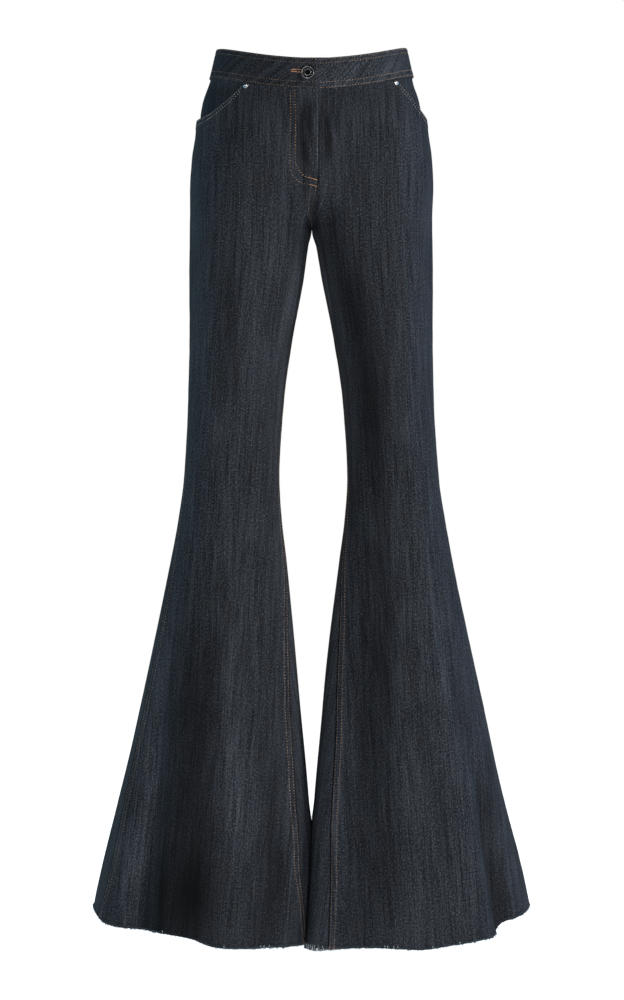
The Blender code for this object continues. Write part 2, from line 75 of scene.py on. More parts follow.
# How far the seams turn towards the front: height, outseam, inseam.
seamTurns = {
    "right": (
        (18, -10, 0), (-120, -9, 0), (-209, -4, 0), (-350, 2, 1), (-480, 7, 3), (-630, 20, 11),
        (-731, 24, 24), (-835, 25, 31), (-930, 26, 32), (-1000, 27, 29), (-1045, 27, 19.5),
        (-1093, 22, 10),
    ),
    "left": (
        (18, -12, 0), (-209, -6, 0), (-480, 0, 3), (-560, 1, 11), (-630, 2, 19), (-712, 3, 30),
        (-792, 3, 34), (-871, 3, 37.2), (-965, 2, 37.7), (-1093, 2, 38.5),
    ),
}

# How far the hem rises: angle, rise.
hemFront = {
    "right": (
        (0, 25), (20, 16), (40, 7), (60, 5), (75, 2), (88, -3), (98, -12), (110, -16), (125, -18),
        (140, -19), (160, -21), (180, -23),
    ),
    "left": (
        (0, 26), (20, 19), (36, 13), (45, -2), (60, -7), (75, -12), (90, -16), (105, -15), (120, -16),
        (140, -21), (160, -24), (180, -25),
    ),
}
hemBack = ((0, 25), (30, 17), (60, 2), (90, -8), (120, -14), (150, -20), (180, -24))

# Large folds: from an angle and height to another, half width and depth (a trough is negative).
folds = {
    "right": (
        (22, -640, 30, -1093, 8, 3), (35, -600, 57, -1093, 9, -6), (88, -600, 101, -1093, 13, 5.5),
        (124, -780, 129, -1093, 9, -4.5), (141, -860, 143, -1093, 6, 2.5),
        (-50, -620, -58, -1093, 16, -6), (-85, -660, -92, -1093, 14, 6),
        (-118, -640, -122, -1093, 14, -7), (100, -35, 142, -140, 9, -1.8),
        (108, -165, 132, -240, 7, -2.5), (60, -150, 84, -330, 15, -1.6),
        (-60, -175, -115, -250, 14, -4), (-52, -215, -120, -300, 12, -2.6),
        (-70, -470, -110, -560, 22, -3), (70, -430, 105, -560, 26, -1.8),
    ),
    "left": (
        (41, -820, 41, -1093, 6, -13), (56, -640, 60, -1093, 12, 3.5), (90, -520, 92, -1093, 14, 4),
        (143, -560, 105, -690, 8, -2), (128, -600, 114, -1010, 10, -4.5), (143, -640, 136, -1093, 8, 2),
        (-44, -640, -50, -1093, 15, 5.5), (-74, -620, -80, -1093, 14, -7),
        (-104, -650, -110, -1093, 15, 5), (-132, -640, -140, -1093, 12, -6),
        (118, -165, 134, -250, 8, -3), (66, -130, 92, -330, 16, -1.5), (-58, -180, -112, -258, 15, -4),
        (-66, -225, -124, -305, 11, -2.4), (-66, -480, -108, -570, 22, -2.8),
        (72, -440, 100, -575, 24, -1.6),
    ),
}

# Small creases that the solids leave out, in the same columns.
creases = {
    "right": (
        (97, -25, 128, -150, 6, -1.5), (135, -165, 146, -205, 5, -1.6), (158, -180, 165, -208, 4, 1.2),
        (90, -640, 98, -1000, 5, 2.2), (38, -560, 58, -1093, 11, -3.2),
        (106, -620, 113, -1093, 5, -1.6), (150, -800, 152, -1093, 5, 1.4),
        (70, -120, 76, -420, 7, -0.9), (104, -200, 112, -480, 8, 0.9), (60, -300, 64, -560, 9, 0.8),
        (86, -330, 80, -600, 6, -0.8), (40, -60, 62, -150, 7, -1), (112, -232, 140, -262, 4, -1.2),
        (100, -262, 132, -300, 4, -1), (118, -500, 96, -560, 5, -0.9), (-75, -500, -105, -545, 7, -1.8),
        (-60, -190, -100, -215, 5, -1.6), (-70, -320, -84, -520, 9, 1.2),
        (-100, -260, -108, -460, 8, -1.2), (-72, -640, -78, -1093, 6, 2),
    ),
    "left": (
        (128, -45, 136, -150, 7, -1.6), (133, -165, 130, -500, 9, -1.9), (126, -715, 96, -815, 6, -2),
        (93, -600, 95, -860, 5, 1.6), (112, -560, 100, -800, 9, -2.6), (60, -560, 66, -980, 9, 1.8),
        (100, -90, 106, -420, 8, 0.9), (76, -140, 78, -400, 7, -0.8), (62, -250, 66, -520, 8, 0.8),
        (140, -505, 100, -570, 5, -1.2), (134, -540, 92, -620, 5, -1.1), (118, -230, 138, -262, 4, -1),
        (66, -70, 84, -160, 7, -0.9), (110, -820, 104, -1093, 5, 1.4), (78, -860, 76, -1093, 6, -1.6),
        (-80, -505, -108, -552, 7, -1.8), (-62, -196, -104, -222, 5, -1.5),
        (-66, -330, -80, -520, 9, 1.2), (-104, -250, -112, -450, 8, -1.2),
        (-88, -640, -96, -1093, 6, 2),
    ),
}

# Broad bands of painted light and painted shade that stand in for the shading of folds and of the legs
# turning away from the lamps, in the same columns; the last is how much paler, and a negative one is painted
# shade.
bands = {
    "right": (
        (67, -610, 85, -1200, 22, -0.29), (37, -660, 52, -1200, 8, 0.46),
        (104, -640, 112, -1150, 13, 0.06), (128, -700, 130, -1093, 8, -0.14),
        (150, -640, 150, -1000, 9, 0.12), (88, -960, 94, -1240, 30, -0.21),
        (96, -15, 128, -150, 8, -0.26), (124, -100, 144, -205, 9, -0.2), (84, -150, 92, -560, 16, 0.06),
        (117, -18, 142, -122, 7, -0.36), (122, -96, 140, -150, 6, -0.16),
        (156, -880, 166, -1093, 8, 0.42), (44, -40, 44, -130, 8, 0.1), (97, -700, 107, -1080, 3, 0.12),
        (165, -200, 160, -345, 13, 1.15), (158, -215, 156, -840, 10, 0.26),
        (168, -640, 166, -1010, 9, 0.8), (86, -850, 90, -1120, 8, -0.08),
        (134, -960, 138, -1060, 5, -0.15), (62, -930, 70, -1093, 2.5, -0.16),
        (74, -220, 82, -480, 14, -0.2), (143, -240, 140, -420, 8, 0.14),
        (158, -168, 168, -215, 6, -0.3), (140, -172, 150, -240, 5, 0.1),
    ),
    "left": (
        (114, -150, 112, -600, 20, -0.3), (56, -40, 56, -180, 12, 0.16),
        (134, -730, 120, -870, 3.5, -0.14), (168, -200, 163, -335, 8, 1.15),
        (158, -560, 153, -1130, 13, 0.52), (102, -640, 105, -1150, 7, -0.13),
        (90, -20, 90, -1200, 60, -0.045), (126, -700, 128, -1050, 3, 0.08),
        (111, -470, 107, -840, 14, -0.11), (120, -800, 112, -1150, 16, -0.08),
        (66, -560, 62, -900, 13, 0.1), (148, -640, 142, -1150, 10, 0.19),
        (130, -40, 134, -150, 10, -0.24), (150, -830, 147, -1200, 12, 0.52),
        (140, -84, 134, -158, 7, -0.13), (160, -160, 152, -225, 7, -0.3), (120, -60, 112, -150, 5, 0.1),
        (118, -150, 112, -420, 5, 0.08),
    ),
}
toneOfFolds = 0.016  # painted light on ridges and painted shade in troughs: how much paler each millimetre of a ridge is
pressed = {"top": -925.0, "full": -985.0, "spread": 26.0, "push": 3.4, "wave": 1.1, "waveLength": 9.0}

pockets = {
    "right": {"angle": 51.0, "depth": 55.0, "power": 5.0, "gape": 2.8, "sink": 2.6},
    "left": {"angle": 43.0, "depth": 57.0, "power": 4.1, "gape": 2.2, "sink": 2.4},
}


def step(t):
    t = np.clip(t, 0.0, 1.0)
    return t * t * (3.0 - 2.0 * t)


def bell(t):
    return np.exp(-t * t)


def within(distance, width, slope):  # 1 up to a width, then down to 0 over a slope
    return 1.0 - step((distance - width) / slope)


def pulls(distance, *places):  # the dents that rows of stitches make at those places
    return sum(bell((distance - place) / jeans["dent"]) for place in places)


def lengthAlong(points):  # from a line's start to each of its points
    steps = np.linalg.norm(np.diff(points, axis=0), axis=1)
    return np.concatenate([[0.0], np.cumsum(steps)])


def readTable(rows, column, at):  # smoothly between rows that run in order of their first column
    table = np.array(rows, float)
    if table[0, 0] > table[-1, 0]:
        table = table[::-1]
    x, y = table[:, 0], table[:, column]
    slope = np.diff(y) / np.diff(x)
    before, after = slope[:-1], slope[1:]
    both = before * after > 0
    total = np.where(both, before + after, 1.0)
    inner = np.where(both, 2.0 * before * after / total, 0.0)
    tangent = np.concatenate([[slope[0]], inner, [slope[-1]]])
    at = np.clip(np.asarray(at, float), x[0], x[-1])
    i = np.clip(np.searchsorted(x, at) - 1, 0, len(x) - 2)
    width = x[i + 1] - x[i]
    t = (at - x[i]) / width
    return (
        y[i] * (1 + 2 * t) * (1 - t) ** 2
        + tangent[i] * width * t * (1 - t) ** 2
        + y[i + 1] * t * t * (3 - 2 * t)
        + tangent[i + 1] * width * t * t * (t - 1)
    )


def parting(isFront, z):  # 0 where the hips are one ring, 1 where they are two legs
    reach = np.where(isFront, jeans["blendFront"], jeans["blendBack"])
    return 1.0 - np.clip((z - jeans["crotch"]) / reach, 0.0, 1.0) ** jeans["blendPower"]


def wrapped(angle):
    return (np.asarray(angle, float) + 180.0) % 360.0 - 180.0


def hemRise(side, angle):
    angle = wrapped(angle)
    front = readTable(hemFront[side], 1, np.abs(angle))
    return np.where(angle >= 0, front, readTable(hemBack, 1, np.abs(angle)))


def foldsAt(side, angle, z, rows=None):
    total = np.zeros(np.broadcast(angle, z).shape)
    for angleTop, top, angleLow, low, spread, depth in rows or folds[side] + creases[side]:
        along = (top - z) / (top - low)
        line = angleTop + np.clip(along, 0, 1) * (angleLow - angleTop)
        if low == jeans["hem"]:
            fade = step(along / jeans["foldGrowth"])
        else:
            fade = step(along / jeans["foldEnds"]) * step((1 - along) / jeans["foldEnds"])
        total = total + depth * fade * bell(wrapped(angle - line) / spread)
    return total


def toneAt(side, angle, z):  # painted light and shade from the bands and the folds; 0.5 leaves the cloth's colour as it is
    return 0.5 + foldsAt(side, angle, z, bands[side]) + toneOfFolds * foldsAt(side, angle, z)


def ring(angle, z):
    outer, inner, front, back, middle, square, inside = (readTable(sections, k, z) for k in range(1, 8))
    low = step((jeans["waistTop"] - z) / (jeans["waistTop"] - jeans["crotch"]))
    hipCentre = jeans["waistCentre"] + (outer / 2 - jeans["waistCentre"]) * low
    centre = np.where(z < jeans["crotch"], (outer + inner) / 2, hipCentre)
    cos, sin = np.cos(np.radians(angle)), np.sin(np.radians(angle))
    square = np.where(cos < 0, inside, square)
    wide = np.sign(cos) * np.abs(cos) ** (2 / square)
    parted = np.where(cos < 0, parting(angle >= 0, z), 1.0)
    bow = np.clip(1.0 - (parted * np.abs(wide)) ** square, 0.0, 1.0)
    deep = np.sign(sin) * bow ** (1 / square)
    x = centre + np.where(cos < 0, centre - inner, outer - centre) * wide
    y = middle - np.where(deep > 0, front + middle, back - middle) * deep
    return x, y, wide, deep


def bent(side, angle, z):  # how the waist and hem rise and fall, how the hips turn, the legs drift
    x, _, wide, deep = ring(angle, z)
    turn = jeans["hipTurn"] * step((z - jeans["crotch"]) / (jeans["flyEnd"] - jeans["crotch"])) * deep
    across = (sides[side] * x + turn / 2) / readTable(sections, 1, z)
    bow = np.clip(1.0 - across**2, 0.0, 1.0) ** jeans["dipPower"]
    bandShare = step((jeans["waistTop"] - z) / (jeans["waistTop"] - jeans["waistSeam"]))
    frontDip = jeans["frontDip"] + jeans["seamDip"] * bandShare
    dip = np.where(deep > 0, -frontDip, jeans["backRise"]) * bow
    waist = step((z - jeans["settle"]) / (jeans["waistSeam"] - jeans["settle"])) * dip
    foot = step((jeans["hem"] + jeans["hemReach"] - z) / jeans["hemReach"]) * hemRise(side, angle)
    drift = readTable(legDrift, 1, z) * (1 - wide) / 2 * parting(angle >= 0, z)
    return waist + foot, turn + drift


def surface(side, angle, z):
    angle, z = np.broadcast_arrays(np.asarray(angle, float), np.asarray(z, float))
    x, y, _, _ = ring(angle, z)
    rise, shift = bent(side, angle, z)
    out = foldsAt(side, angle, z) * step(x / jeans["foldClear"])
    x = x + out * np.cos(np.radians(angle))
    y = y - out * np.sin(np.radians(angle))
    return np.stack([sides[side] * x + shift, y, z + rise], axis=-1)


def facingOut(side, angle, z):
    angle, z = np.broadcast_arrays(np.asarray(angle, float), np.asarray(z, float))
    end = np.where(z < jeans["crotch"], 360.0, 179.99)
    ahead, behind = np.minimum(angle + 0.4, end), np.maximum(angle - 0.4, -end)
    low = np.maximum(z - 1.0, jeans["hem"])
    around = surface(side, ahead, z) - surface(side, behind, z)
    along = surface(side, angle, low + 2.0) - surface(side, angle, low)
    normal = np.cross(around, along) * -sides[side]
    return normal / np.linalg.norm(normal, axis=-1, keepdims=True)


def seamAngle(side, number, z):  # number 1 is the outseam, 2 the inseam
    return readTable(seamTurns[side], number, z)


def topEdge(side, isFront, angle):  # a panel's top edge, and how far along the pocket's mouth
    level = np.full(np.shape(angle), topRow)
    if not isFront:
        return level, np.zeros_like(level)
    pocket = pockets[side]
    outseam = seamAngle(side, 1, topRow - pocket["depth"])
    along = np.clip((pocket["angle"] - angle) / (pocket["angle"] - outseam), 0.0, 1.0)
    return level - pocket["depth"] * (1.0 - (1.0 - along) ** pocket["power"]), along


def rowHeight(side, isFront, angle, z):
    share = (z - jeans["settle"]) / (topRow - jeans["settle"])
    top = topEdge(side, isFront, angle)[0]
    return np.where(z > jeans["settle"], jeans["settle"] + share * (top - jeans["settle"]), z)


def pressedAt(z):
    return step((pressed["top"] - z) / (pressed["top"] - pressed["full"]))


def nearMiddle(angle, spread):  # 1 where the two legs face each other
    return bell((180.0 - np.abs(angle)) / spread)


def ownSide(side, points, angle, z):  # keeps off the middle, where the two legs press together
    shift = bent(side, angle, z)[1]
    shift = shift + pressed["wave"] * np.sin(points[..., 1] / pressed["waveLength"]) * pressedAt(z)
    across = sides[side] * (points[..., 0] - shift)
    points[..., 0] = shift + sides[side] * np.maximum(across, jeans["seamGap"] / 2)
    return points


def alongRing(side, start, end, heightAt=np.zeros_like, count=361):
    angle = np.linspace(start, end, count)
    return angle, lengthAlong(surface(side, angle, heightAt(angle)))


def unevenness(points, size, seed):  # soft lumps from -1 to 1, the same on every piece
    shift = Vector((seed * 17.3, seed * 5.1, seed * 29.7))
    flat = points.reshape(-1, 3) / np.array(size)
    return np.array([noise.noise(Vector(p) + shift) for p in flat]).reshape(points.shape[:-1])


def linked(name, data):
    made = bpy.data.objects.new(name, data)
    bpy.context.scene.collection.objects.link(made)
    return made


def keepOnPoints(data, **values):  # numbers or vectors on a mesh's points
    for key, value in values.items():
        kind, field = ("FLOAT_VECTOR", "vector") if value.ndim == 2 else ("FLOAT", "value")
        data.attributes.new(key, kind, "POINT").data.foreach_set(field, value.ravel())


# Node trees, for materials and for Geometry Nodes.
class Wire:  # an output socket that can be used in a sum
    def __init__(self, shop, socket):
        self.shop, self.socket = shop, socket

    def calc(self, operation, *others):
        return self.shop.add("ShaderNodeMath", {"operation": operation}, (self, *others))

    __add__ = __radd__ = partialmethod(calc, "ADD")
    __sub__ = partialmethod(calc, "SUBTRACT")
    __mul__ = partialmethod(calc, "MULTIPLY")

    def clamped(self):
        return self.calc("MAXIMUM", 0.0).calc("MINIMUM", 1.0)

    def of(self, name):
        return Wire(self.shop, self.socket.node.outputs[name])


class NodeShop:  # makes the nodes of one tree
    def __init__(self, tree):
        self.tree = tree
        tree.nodes.clear()

    def add(self, kind, settings=None, inputs=()):
        node = self.tree.nodes.new(kind)
        for name, value in (settings or {}).items():
            setattr(node, name, value)
        for key, value in inputs.items() if isinstance(inputs, dict) else enumerate(inputs):
            if isinstance(key, str):
                socket = next(s for s in node.inputs if s.name == key and s.enabled)
            else:
                socket = node.inputs[key]
            if isinstance(value, Wire):
                self.tree.links.new(value.socket, socket)
            elif value is not None:
                isColour = socket.type == "RGBA" and len(value) == 3
                socket.default_value = (*value, 1.0) if isColour else value
        shown = [socket for socket in node.outputs if socket.enabled]
        return Wire(self, shown[0]) if shown else node

    def vector(self, operation, first, second):
        return self.add("ShaderNodeVectorMath", {"operation": operation}, (first, second))

    def joined(self, x, y, z):
        return self.add("ShaderNodeCombineXYZ", {}, (x, y, z))

    def attribute(self, name):
        return self.add("ShaderNodeAttribute", {"attribute_name": name}).of("Fac")

    def mixed(self, factor, first, second, blend="MIX"):
        settings = {"data_type": "RGBA", "blend_type": blend}
        return self.add("ShaderNodeMix", settings, {0: factor, 6: first, 7: second})

    def noise(self, vector, scale, detail=2.0, roughness=0.5, offset=0.0):
        vector = self.vector("MULTIPLY", vector, scale)
        if offset:
            vector = self.vector("ADD", vector, (offset,) * 3)
        inputs = {"Vector": vector, "Scale": 1.0, "Detail": detail, "Roughness": roughness}
        return self.add("ShaderNodeTexNoise", {}, inputs)

    def lumps(self, scale, *rest):  # noise in the piece's own space
        return self.noise(self.add("ShaderNodeTexCoord").of("Object"), (scale,) * 3, *rest)

    def span(self, value, low, high, toLow=0.0, toHigh=1.0):
        return self.add("ShaderNodeMapRange", {}, (value, low, high, toLow, toHigh))


def newMaterial(name):
    material = bpy.data.materials.new(name)
    material.use_nodes = True
    return material, NodeShop(material.node_tree)


def finishMaterial(shop, colour, roughness, constants, height=None, bump=0.5, bumpDistance=mm):
    inputs = {"Base Color": colour, "Roughness": roughness, **constants}
    if height is not None:
        bumps = {"Strength": bump, "Distance": bumpDistance, "Height": height}
        inputs["Normal"] = shop.add("ShaderNodeBump", {}, bumps)
    shader = shop.add("ShaderNodeBsdfPrincipled", {}, inputs)
    shop.add("ShaderNodeOutputMaterial", {}, (shader,))


denimLook = {
    "deep": (0.0042, 0.0050, 0.0066), "mid": (0.0320, 0.0372, 0.0455), "fleck": (0.122, 0.127, 0.138),
    "worn": (0.105, 0.118, 0.132), "blue": (0.84, 0.98, 1.22), "grey": (1.12, 1.01, 0.90),
    "twillPitch": 0.95, "twillLean": 62.0, "bump": 0.75, "bumpDistance": 0.4 * mm,
}


def denimMaterial(name, look):
    material, shop = newMaterial(name)
    place = shop.add("ShaderNodeUVMap", {"uv_map": "grain"})
    inMm = shop.vector("MULTIPLY", place, (1 / mm, 1 / mm, 1.0))
    across = shop.add("ShaderNodeSeparateXYZ", {}, (inMm,))
    along = across.of("Y")

    def mottle(vector, width, length, *rest):  # noise with lumps of that size
        return shop.noise(vector, (1 / width, 1 / length, 1.0), *rest)

    loose = shop.joined(across, along + mottle(inMm, 3.3, 260, 2, 0.6, 83) * 230.0, 0.0)
    wander = shop.noise(inMm, (0.35, 0.12, 1.0), 1)  # yarns aren't quite straight
    lean = math.radians(look["twillLean"])
    turn = 2 * math.pi / look["twillPitch"]
    phase = across * (math.sin(lean) * turn) - along * (math.cos(lean) * turn) + wander * 2.2
    twill = phase.calc("SINE") * 0.5 + 0.5
    yarn = mottle(loose, 1.9, 21, 2, 0.55, 3)
    slub = mottle(loose, 2.2, 64, 2, 0.6, 11)
    streak = mottle(inMm, 7, 120, 2, 0.5, 23)
    grain = mottle(inMm, 1.9, 2.2, 1, 0.6, 31)
    fine = mottle(inMm, 0.7, 0.9, 2, 0.7, 41)
    speck = mottle(inMm, 2.3, 1.7, 1, 0.6, 47)
    cloud = mottle(inMm, 46, 80, 2, 0.5, 59)
    hue = mottle(inMm, 17, 24, 2, 0.6, 71)
    tone = (
        0.37 + (yarn - 0.5) * 1.20 + (slub - 0.5) * 1.25 + (streak - 0.5) * 0.95
        + (grain - 0.5) * 2.3 + (fine - 0.5) * 1.6 + (twill - 0.5) * 0.25 + (cloud - 0.5) * 0.55
    ).clamped()
    colour = shop.mixed(tone, look["deep"], look["mid"])
    flecks = shop.span(speck + (grain - 0.5) * 0.5, 0.60, 0.76) * shop.span(slub, 0.36, 0.60)
    colour = shop.mixed(flecks * 0.38, colour, look["fleck"])
    rubbed = (shop.attribute("worn") * shop.span(grain + yarn, 0.8, 1.25)).clamped()
    colour = shop.mixed(rubbed * 0.75, colour, look["worn"])
    tint = shop.mixed(shop.span(hue, 0.35, 0.65), look["grey"], look["blue"])
    colour = shop.mixed(0.20, colour, shop.mixed(1.0, colour, tint, "MULTIPLY"))
    # The tone attribute holds painted light and shade: it scales the colour, darker below 0.5 and paler
    # above.
    dark = shop.span(shop.attribute("tone"), 0.0, 1.0, 0.0, 2.0)
    colour = shop.mixed(1.0, colour, shop.joined(dark, dark, dark), "MULTIPLY")
    height = twill * 0.30 + yarn * 0.9 + grain * 0.9 + fine * 0.6 + slub * 0.6
    finishMaterial(
        shop, colour, shop.span(grain, 0.2, 0.8, 0.80, 0.96), {"Specular IOR Level": 0.10},
        height, look["bump"], look["bumpDistance"],
    )
    return material


reverseLook = dict(
    denimLook, deep=(0.045, 0.055, 0.075), mid=(0.16, 0.18, 0.21), fleck=(0.30, 0.32, 0.34),
    worn=(0.24, 0.26, 0.28), twillLean=-62.0,
)
denims = (denimMaterial("raw_denim", denimLook), denimMaterial("raw_denim_reverse", reverseLook))


def threadMaterial(name, first, second):
    material, shop = newMaterial(name)
    fine, each, broad = shop.lumps(3200, 1), shop.lumps(330, 1, 0.5, 8), shop.lumps(60, 1, 0.5, 5)
    mixing = ((fine - 0.5) * 0.8 + (each - 0.5) * 2.0 + (broad - 0.5) * 1.6 + 0.42).clamped()
    look = {"Specular IOR Level": 0.35, "Sheen Weight": 0.1}
    roughness = shop.span(fine, 0.3, 0.7, 0.60, 0.75)
    finishMaterial(shop, shop.mixed(mixing, first, second), roughness, look, fine, 0.5, 0.1 * mm)
    return material


# dull and dim are darker copies of the copper thread: dim is painted shade on stitches in the crotch and at
# the band's end, and dull is both the outseams' fainter thread and painted shade on the band's shaded half.
threadColours = {
    "copper": ((0.130, 0.066, 0.034), (0.640, 0.380, 0.210)),
    "grey": ((0.150, 0.140, 0.130), (0.560, 0.530, 0.490)),
    "dullAndShaded": ((0.060, 0.042, 0.032), (0.330, 0.200, 0.125)),
    "shadedCopper": ((0.045, 0.036, 0.032), (0.190, 0.130, 0.095)),
    "orange": ((0.260, 0.110, 0.050), (0.620, 0.310, 0.160)),
}
threads = {key: threadMaterial(key + "_thread", *colours) for key, colours in threadColours.items()}

frayedYarn, shop = newMaterial("frayed_yarn")
paler = (shop.attribute("pale") + (shop.lumps(2600, 1) - 0.5) * 0.35).clamped()
colour = shop.add("ShaderNodeValToRGB", {}, (paler,))
yarnStops = (
    (0.0, (0.010, 0.013, 0.019)), (0.45, (0.030, 0.052, 0.070)), (0.75, (0.150, 0.210, 0.240)),
    (1.0, (0.52, 0.56, 0.57)),
)
ramp = colour.socket.node.color_ramp.elements
while len(ramp) < len(yarnStops):
    ramp.new(0.5)
for element, (place, shade) in zip(ramp, yarnStops):
    element.position, element.color = place, (*shade, 1.0)
finishMaterial(shop, colour, 0.9, {"Specular IOR Level": 0.15, "Sheen Weight": 0.15})


def metalMaterial(name, dark, light, roughness, dents):
    material, shop = newMaterial(name)
    dent, fine = shop.lumps(dents, 2, 0.6), shop.lumps(2400, 2, 0.6, 7)
    colour = shop.mixed(shop.span(dent, 0.35, 0.65), dark, light)
    rough = roughness + (fine - 0.5) * 0.3
    finishMaterial(shop, colour, rough, {"Metallic": 1.0}, dent + fine * 0.15, 0.5, 0.35 * mm)
    return material


gunMetal = metalMaterial("gun_metal", (0.020, 0.020, 0.022), (0.150, 0.150, 0.158), 0.24, 620)
# A near-black metal for the button's hollows, as painted shade.
hollowShadeMetal = metalMaterial("hollow_shade_metal", (0.002, 0.002, 0.002), (0.006, 0.006, 0.007), 0.45, 620)
nickel = metalMaterial("nickel", (0.080, 0.080, 0.083), (0.80, 0.80, 0.81), 0.24, 1100)
print("materials made")

panelCut = {
    "bands": (  # top, foot, rows, and how much closer the rows stand at the top (or the foot)
        (topRow, -110.0, 28, 1.5), (-110.0, -209.0, 40, -1.7), (-209.0, -274.0, 18, 1.0),
        (-274.0, -528.0, 60, 1.0), (-528.0, -850.0, 80, 1.0), (-850.0, -1093.0, 62, 1.0),
    ),
    "edge": (0.15, 0.5, 1.0, 1.6, 2.4, 3.6, 5.2, 6.6, 7.4, 8.2, 9.0, 9.8, 10.6, 11.6, 13.5),
    "across": 66, "sharp": 50, "fellWidth": 8.0, "fellSlope": 1.2, "fellRise": 0.8, "roping": 0.30,
    "outseam": (7.4, 8.2), "inseam": (9.4, 10.2), "groove": 0.9, "grooveWidth": 1.9, "grooveTop": -60.0,
    "stitchIn": 1.9, "stitchOut": 7.4, "stitchPull": 0.32,
    "lumps": ((28.0, 28.0, 80.0, 0.32), (70.0, 70.0, 190.0, 1.0)), "lumpsFade": 60.0,
    "mouthReach": 22.0, "mouthHeld": 14.0, "mouthTurned": 9.0, "mouthRise": 0.45, "mouthPull": 0.25,
    # ditch and seamShadowDark: width and strength of painted shadow in the seams' ditches
    "seamShadow": {"front": 0.4, "back": 2.9}, "seamShadowDark": {"left": 0.86, "right": 0.5},
    # paintedMiddleShade paints shade where the legs press together at the hems
    "paintedMiddleShade": (0.70, 5.0), "seamLine": (0.45, 0.6),  # how strong and how wide
    "wornHem": (0.25, 1.6), "wornSeam": (0.35, 0.6), "wornFell": (0.30, 0.8), "wornMouth": (0.9, 0.9),
    "wornLap": (1.2, 0.9),
    "grainLine": ((18, 76), (-209, 77), (-350, 88), (-528, 103), (-731, 112), (-1093, 140)),
}
fly = {
    "width": 35.0, "rise": 0.9, "slope": 3.0, "bendTop": -141.0, "bendDrop": 25.0,
    "tuck": 1.2, "tuckWidth": 7.0, "tuckSlope": 5.0, "fade": 12.0,
}


def rowHeights():
    heights = [topRow]
    for top, low, count, crowd in panelCut["bands"]:
        share = np.linspace(0.0, 1.0, count + 1)[1:]
        share = share**crowd if crowd > 0 else 1.0 - (1.0 - share) ** -crowd
        heights += list(top + (low - top) * share)
    return heights


def columnsOf(side, isFront, z):
    lowEnd = rowHeight(side, isFront, np.array(-90.0), z)
    start, end = (180.0 if isFront else -180.0) - seamAngle(side, 2, z), seamAngle(side, 1, lowEnd)
    angle, along = alongRing(side, start, end, lambda a: rowHeight(side, isFront, a, z))
    width, edge = along[-1], np.array(panelCut["edge"])
    middle = np.linspace(edge[-1], width - edge[-1], panelCut["across"])[1:-1]
    places = np.concatenate([edge, middle, width - edge[::-1]])
    return np.interp(places, along, angle), places, width - places


def grainOf(side, isFront):  # distance round the leg from the grain line, at any angle and height
    angles = np.arange(-30.0, 181.0) if isFront else np.arange(-222.0, 41.0)
    heights = np.arange(18.0, -1096.0, -4.0)
    points = surface(side, angles[None, :], heights[:, None])
    arcs = np.array([lengthAlong(row) for row in points])
    near = (angles > 25) & (angles < 160) if isFront else (angles > -160) & (angles < -25)
    reach = readTable(panelCut["grainLine"], 1, heights)
    for row in range(len(heights)):
        across = sides[side] * points[row, near, 0]
        order = np.argsort(across)
        arcs[row] -= np.interp(reach[row], across[order], arcs[row, near][order])

    def at(angle, z):
        a = np.clip(np.asarray(angle) - angles[0], 0, len(angles) - 1.001)
        h = np.clip((heights[0] - np.asarray(z)) / 4.0, 0, len(heights) - 1.001)
        i, j = h.astype(int), a.astype(int)
        t, s = h - i, a - j
        upper = arcs[i, j] * (1 - s) + arcs[i, j + 1] * s
        lower = arcs[i + 1, j] * (1 - s) + arcs[i + 1, j + 1] * s
        return upper * (1 - t) + lower * t

    return at


def mark(key, distance):
    strength, width = panelCut[key]
    return strength * bell(distance / width)


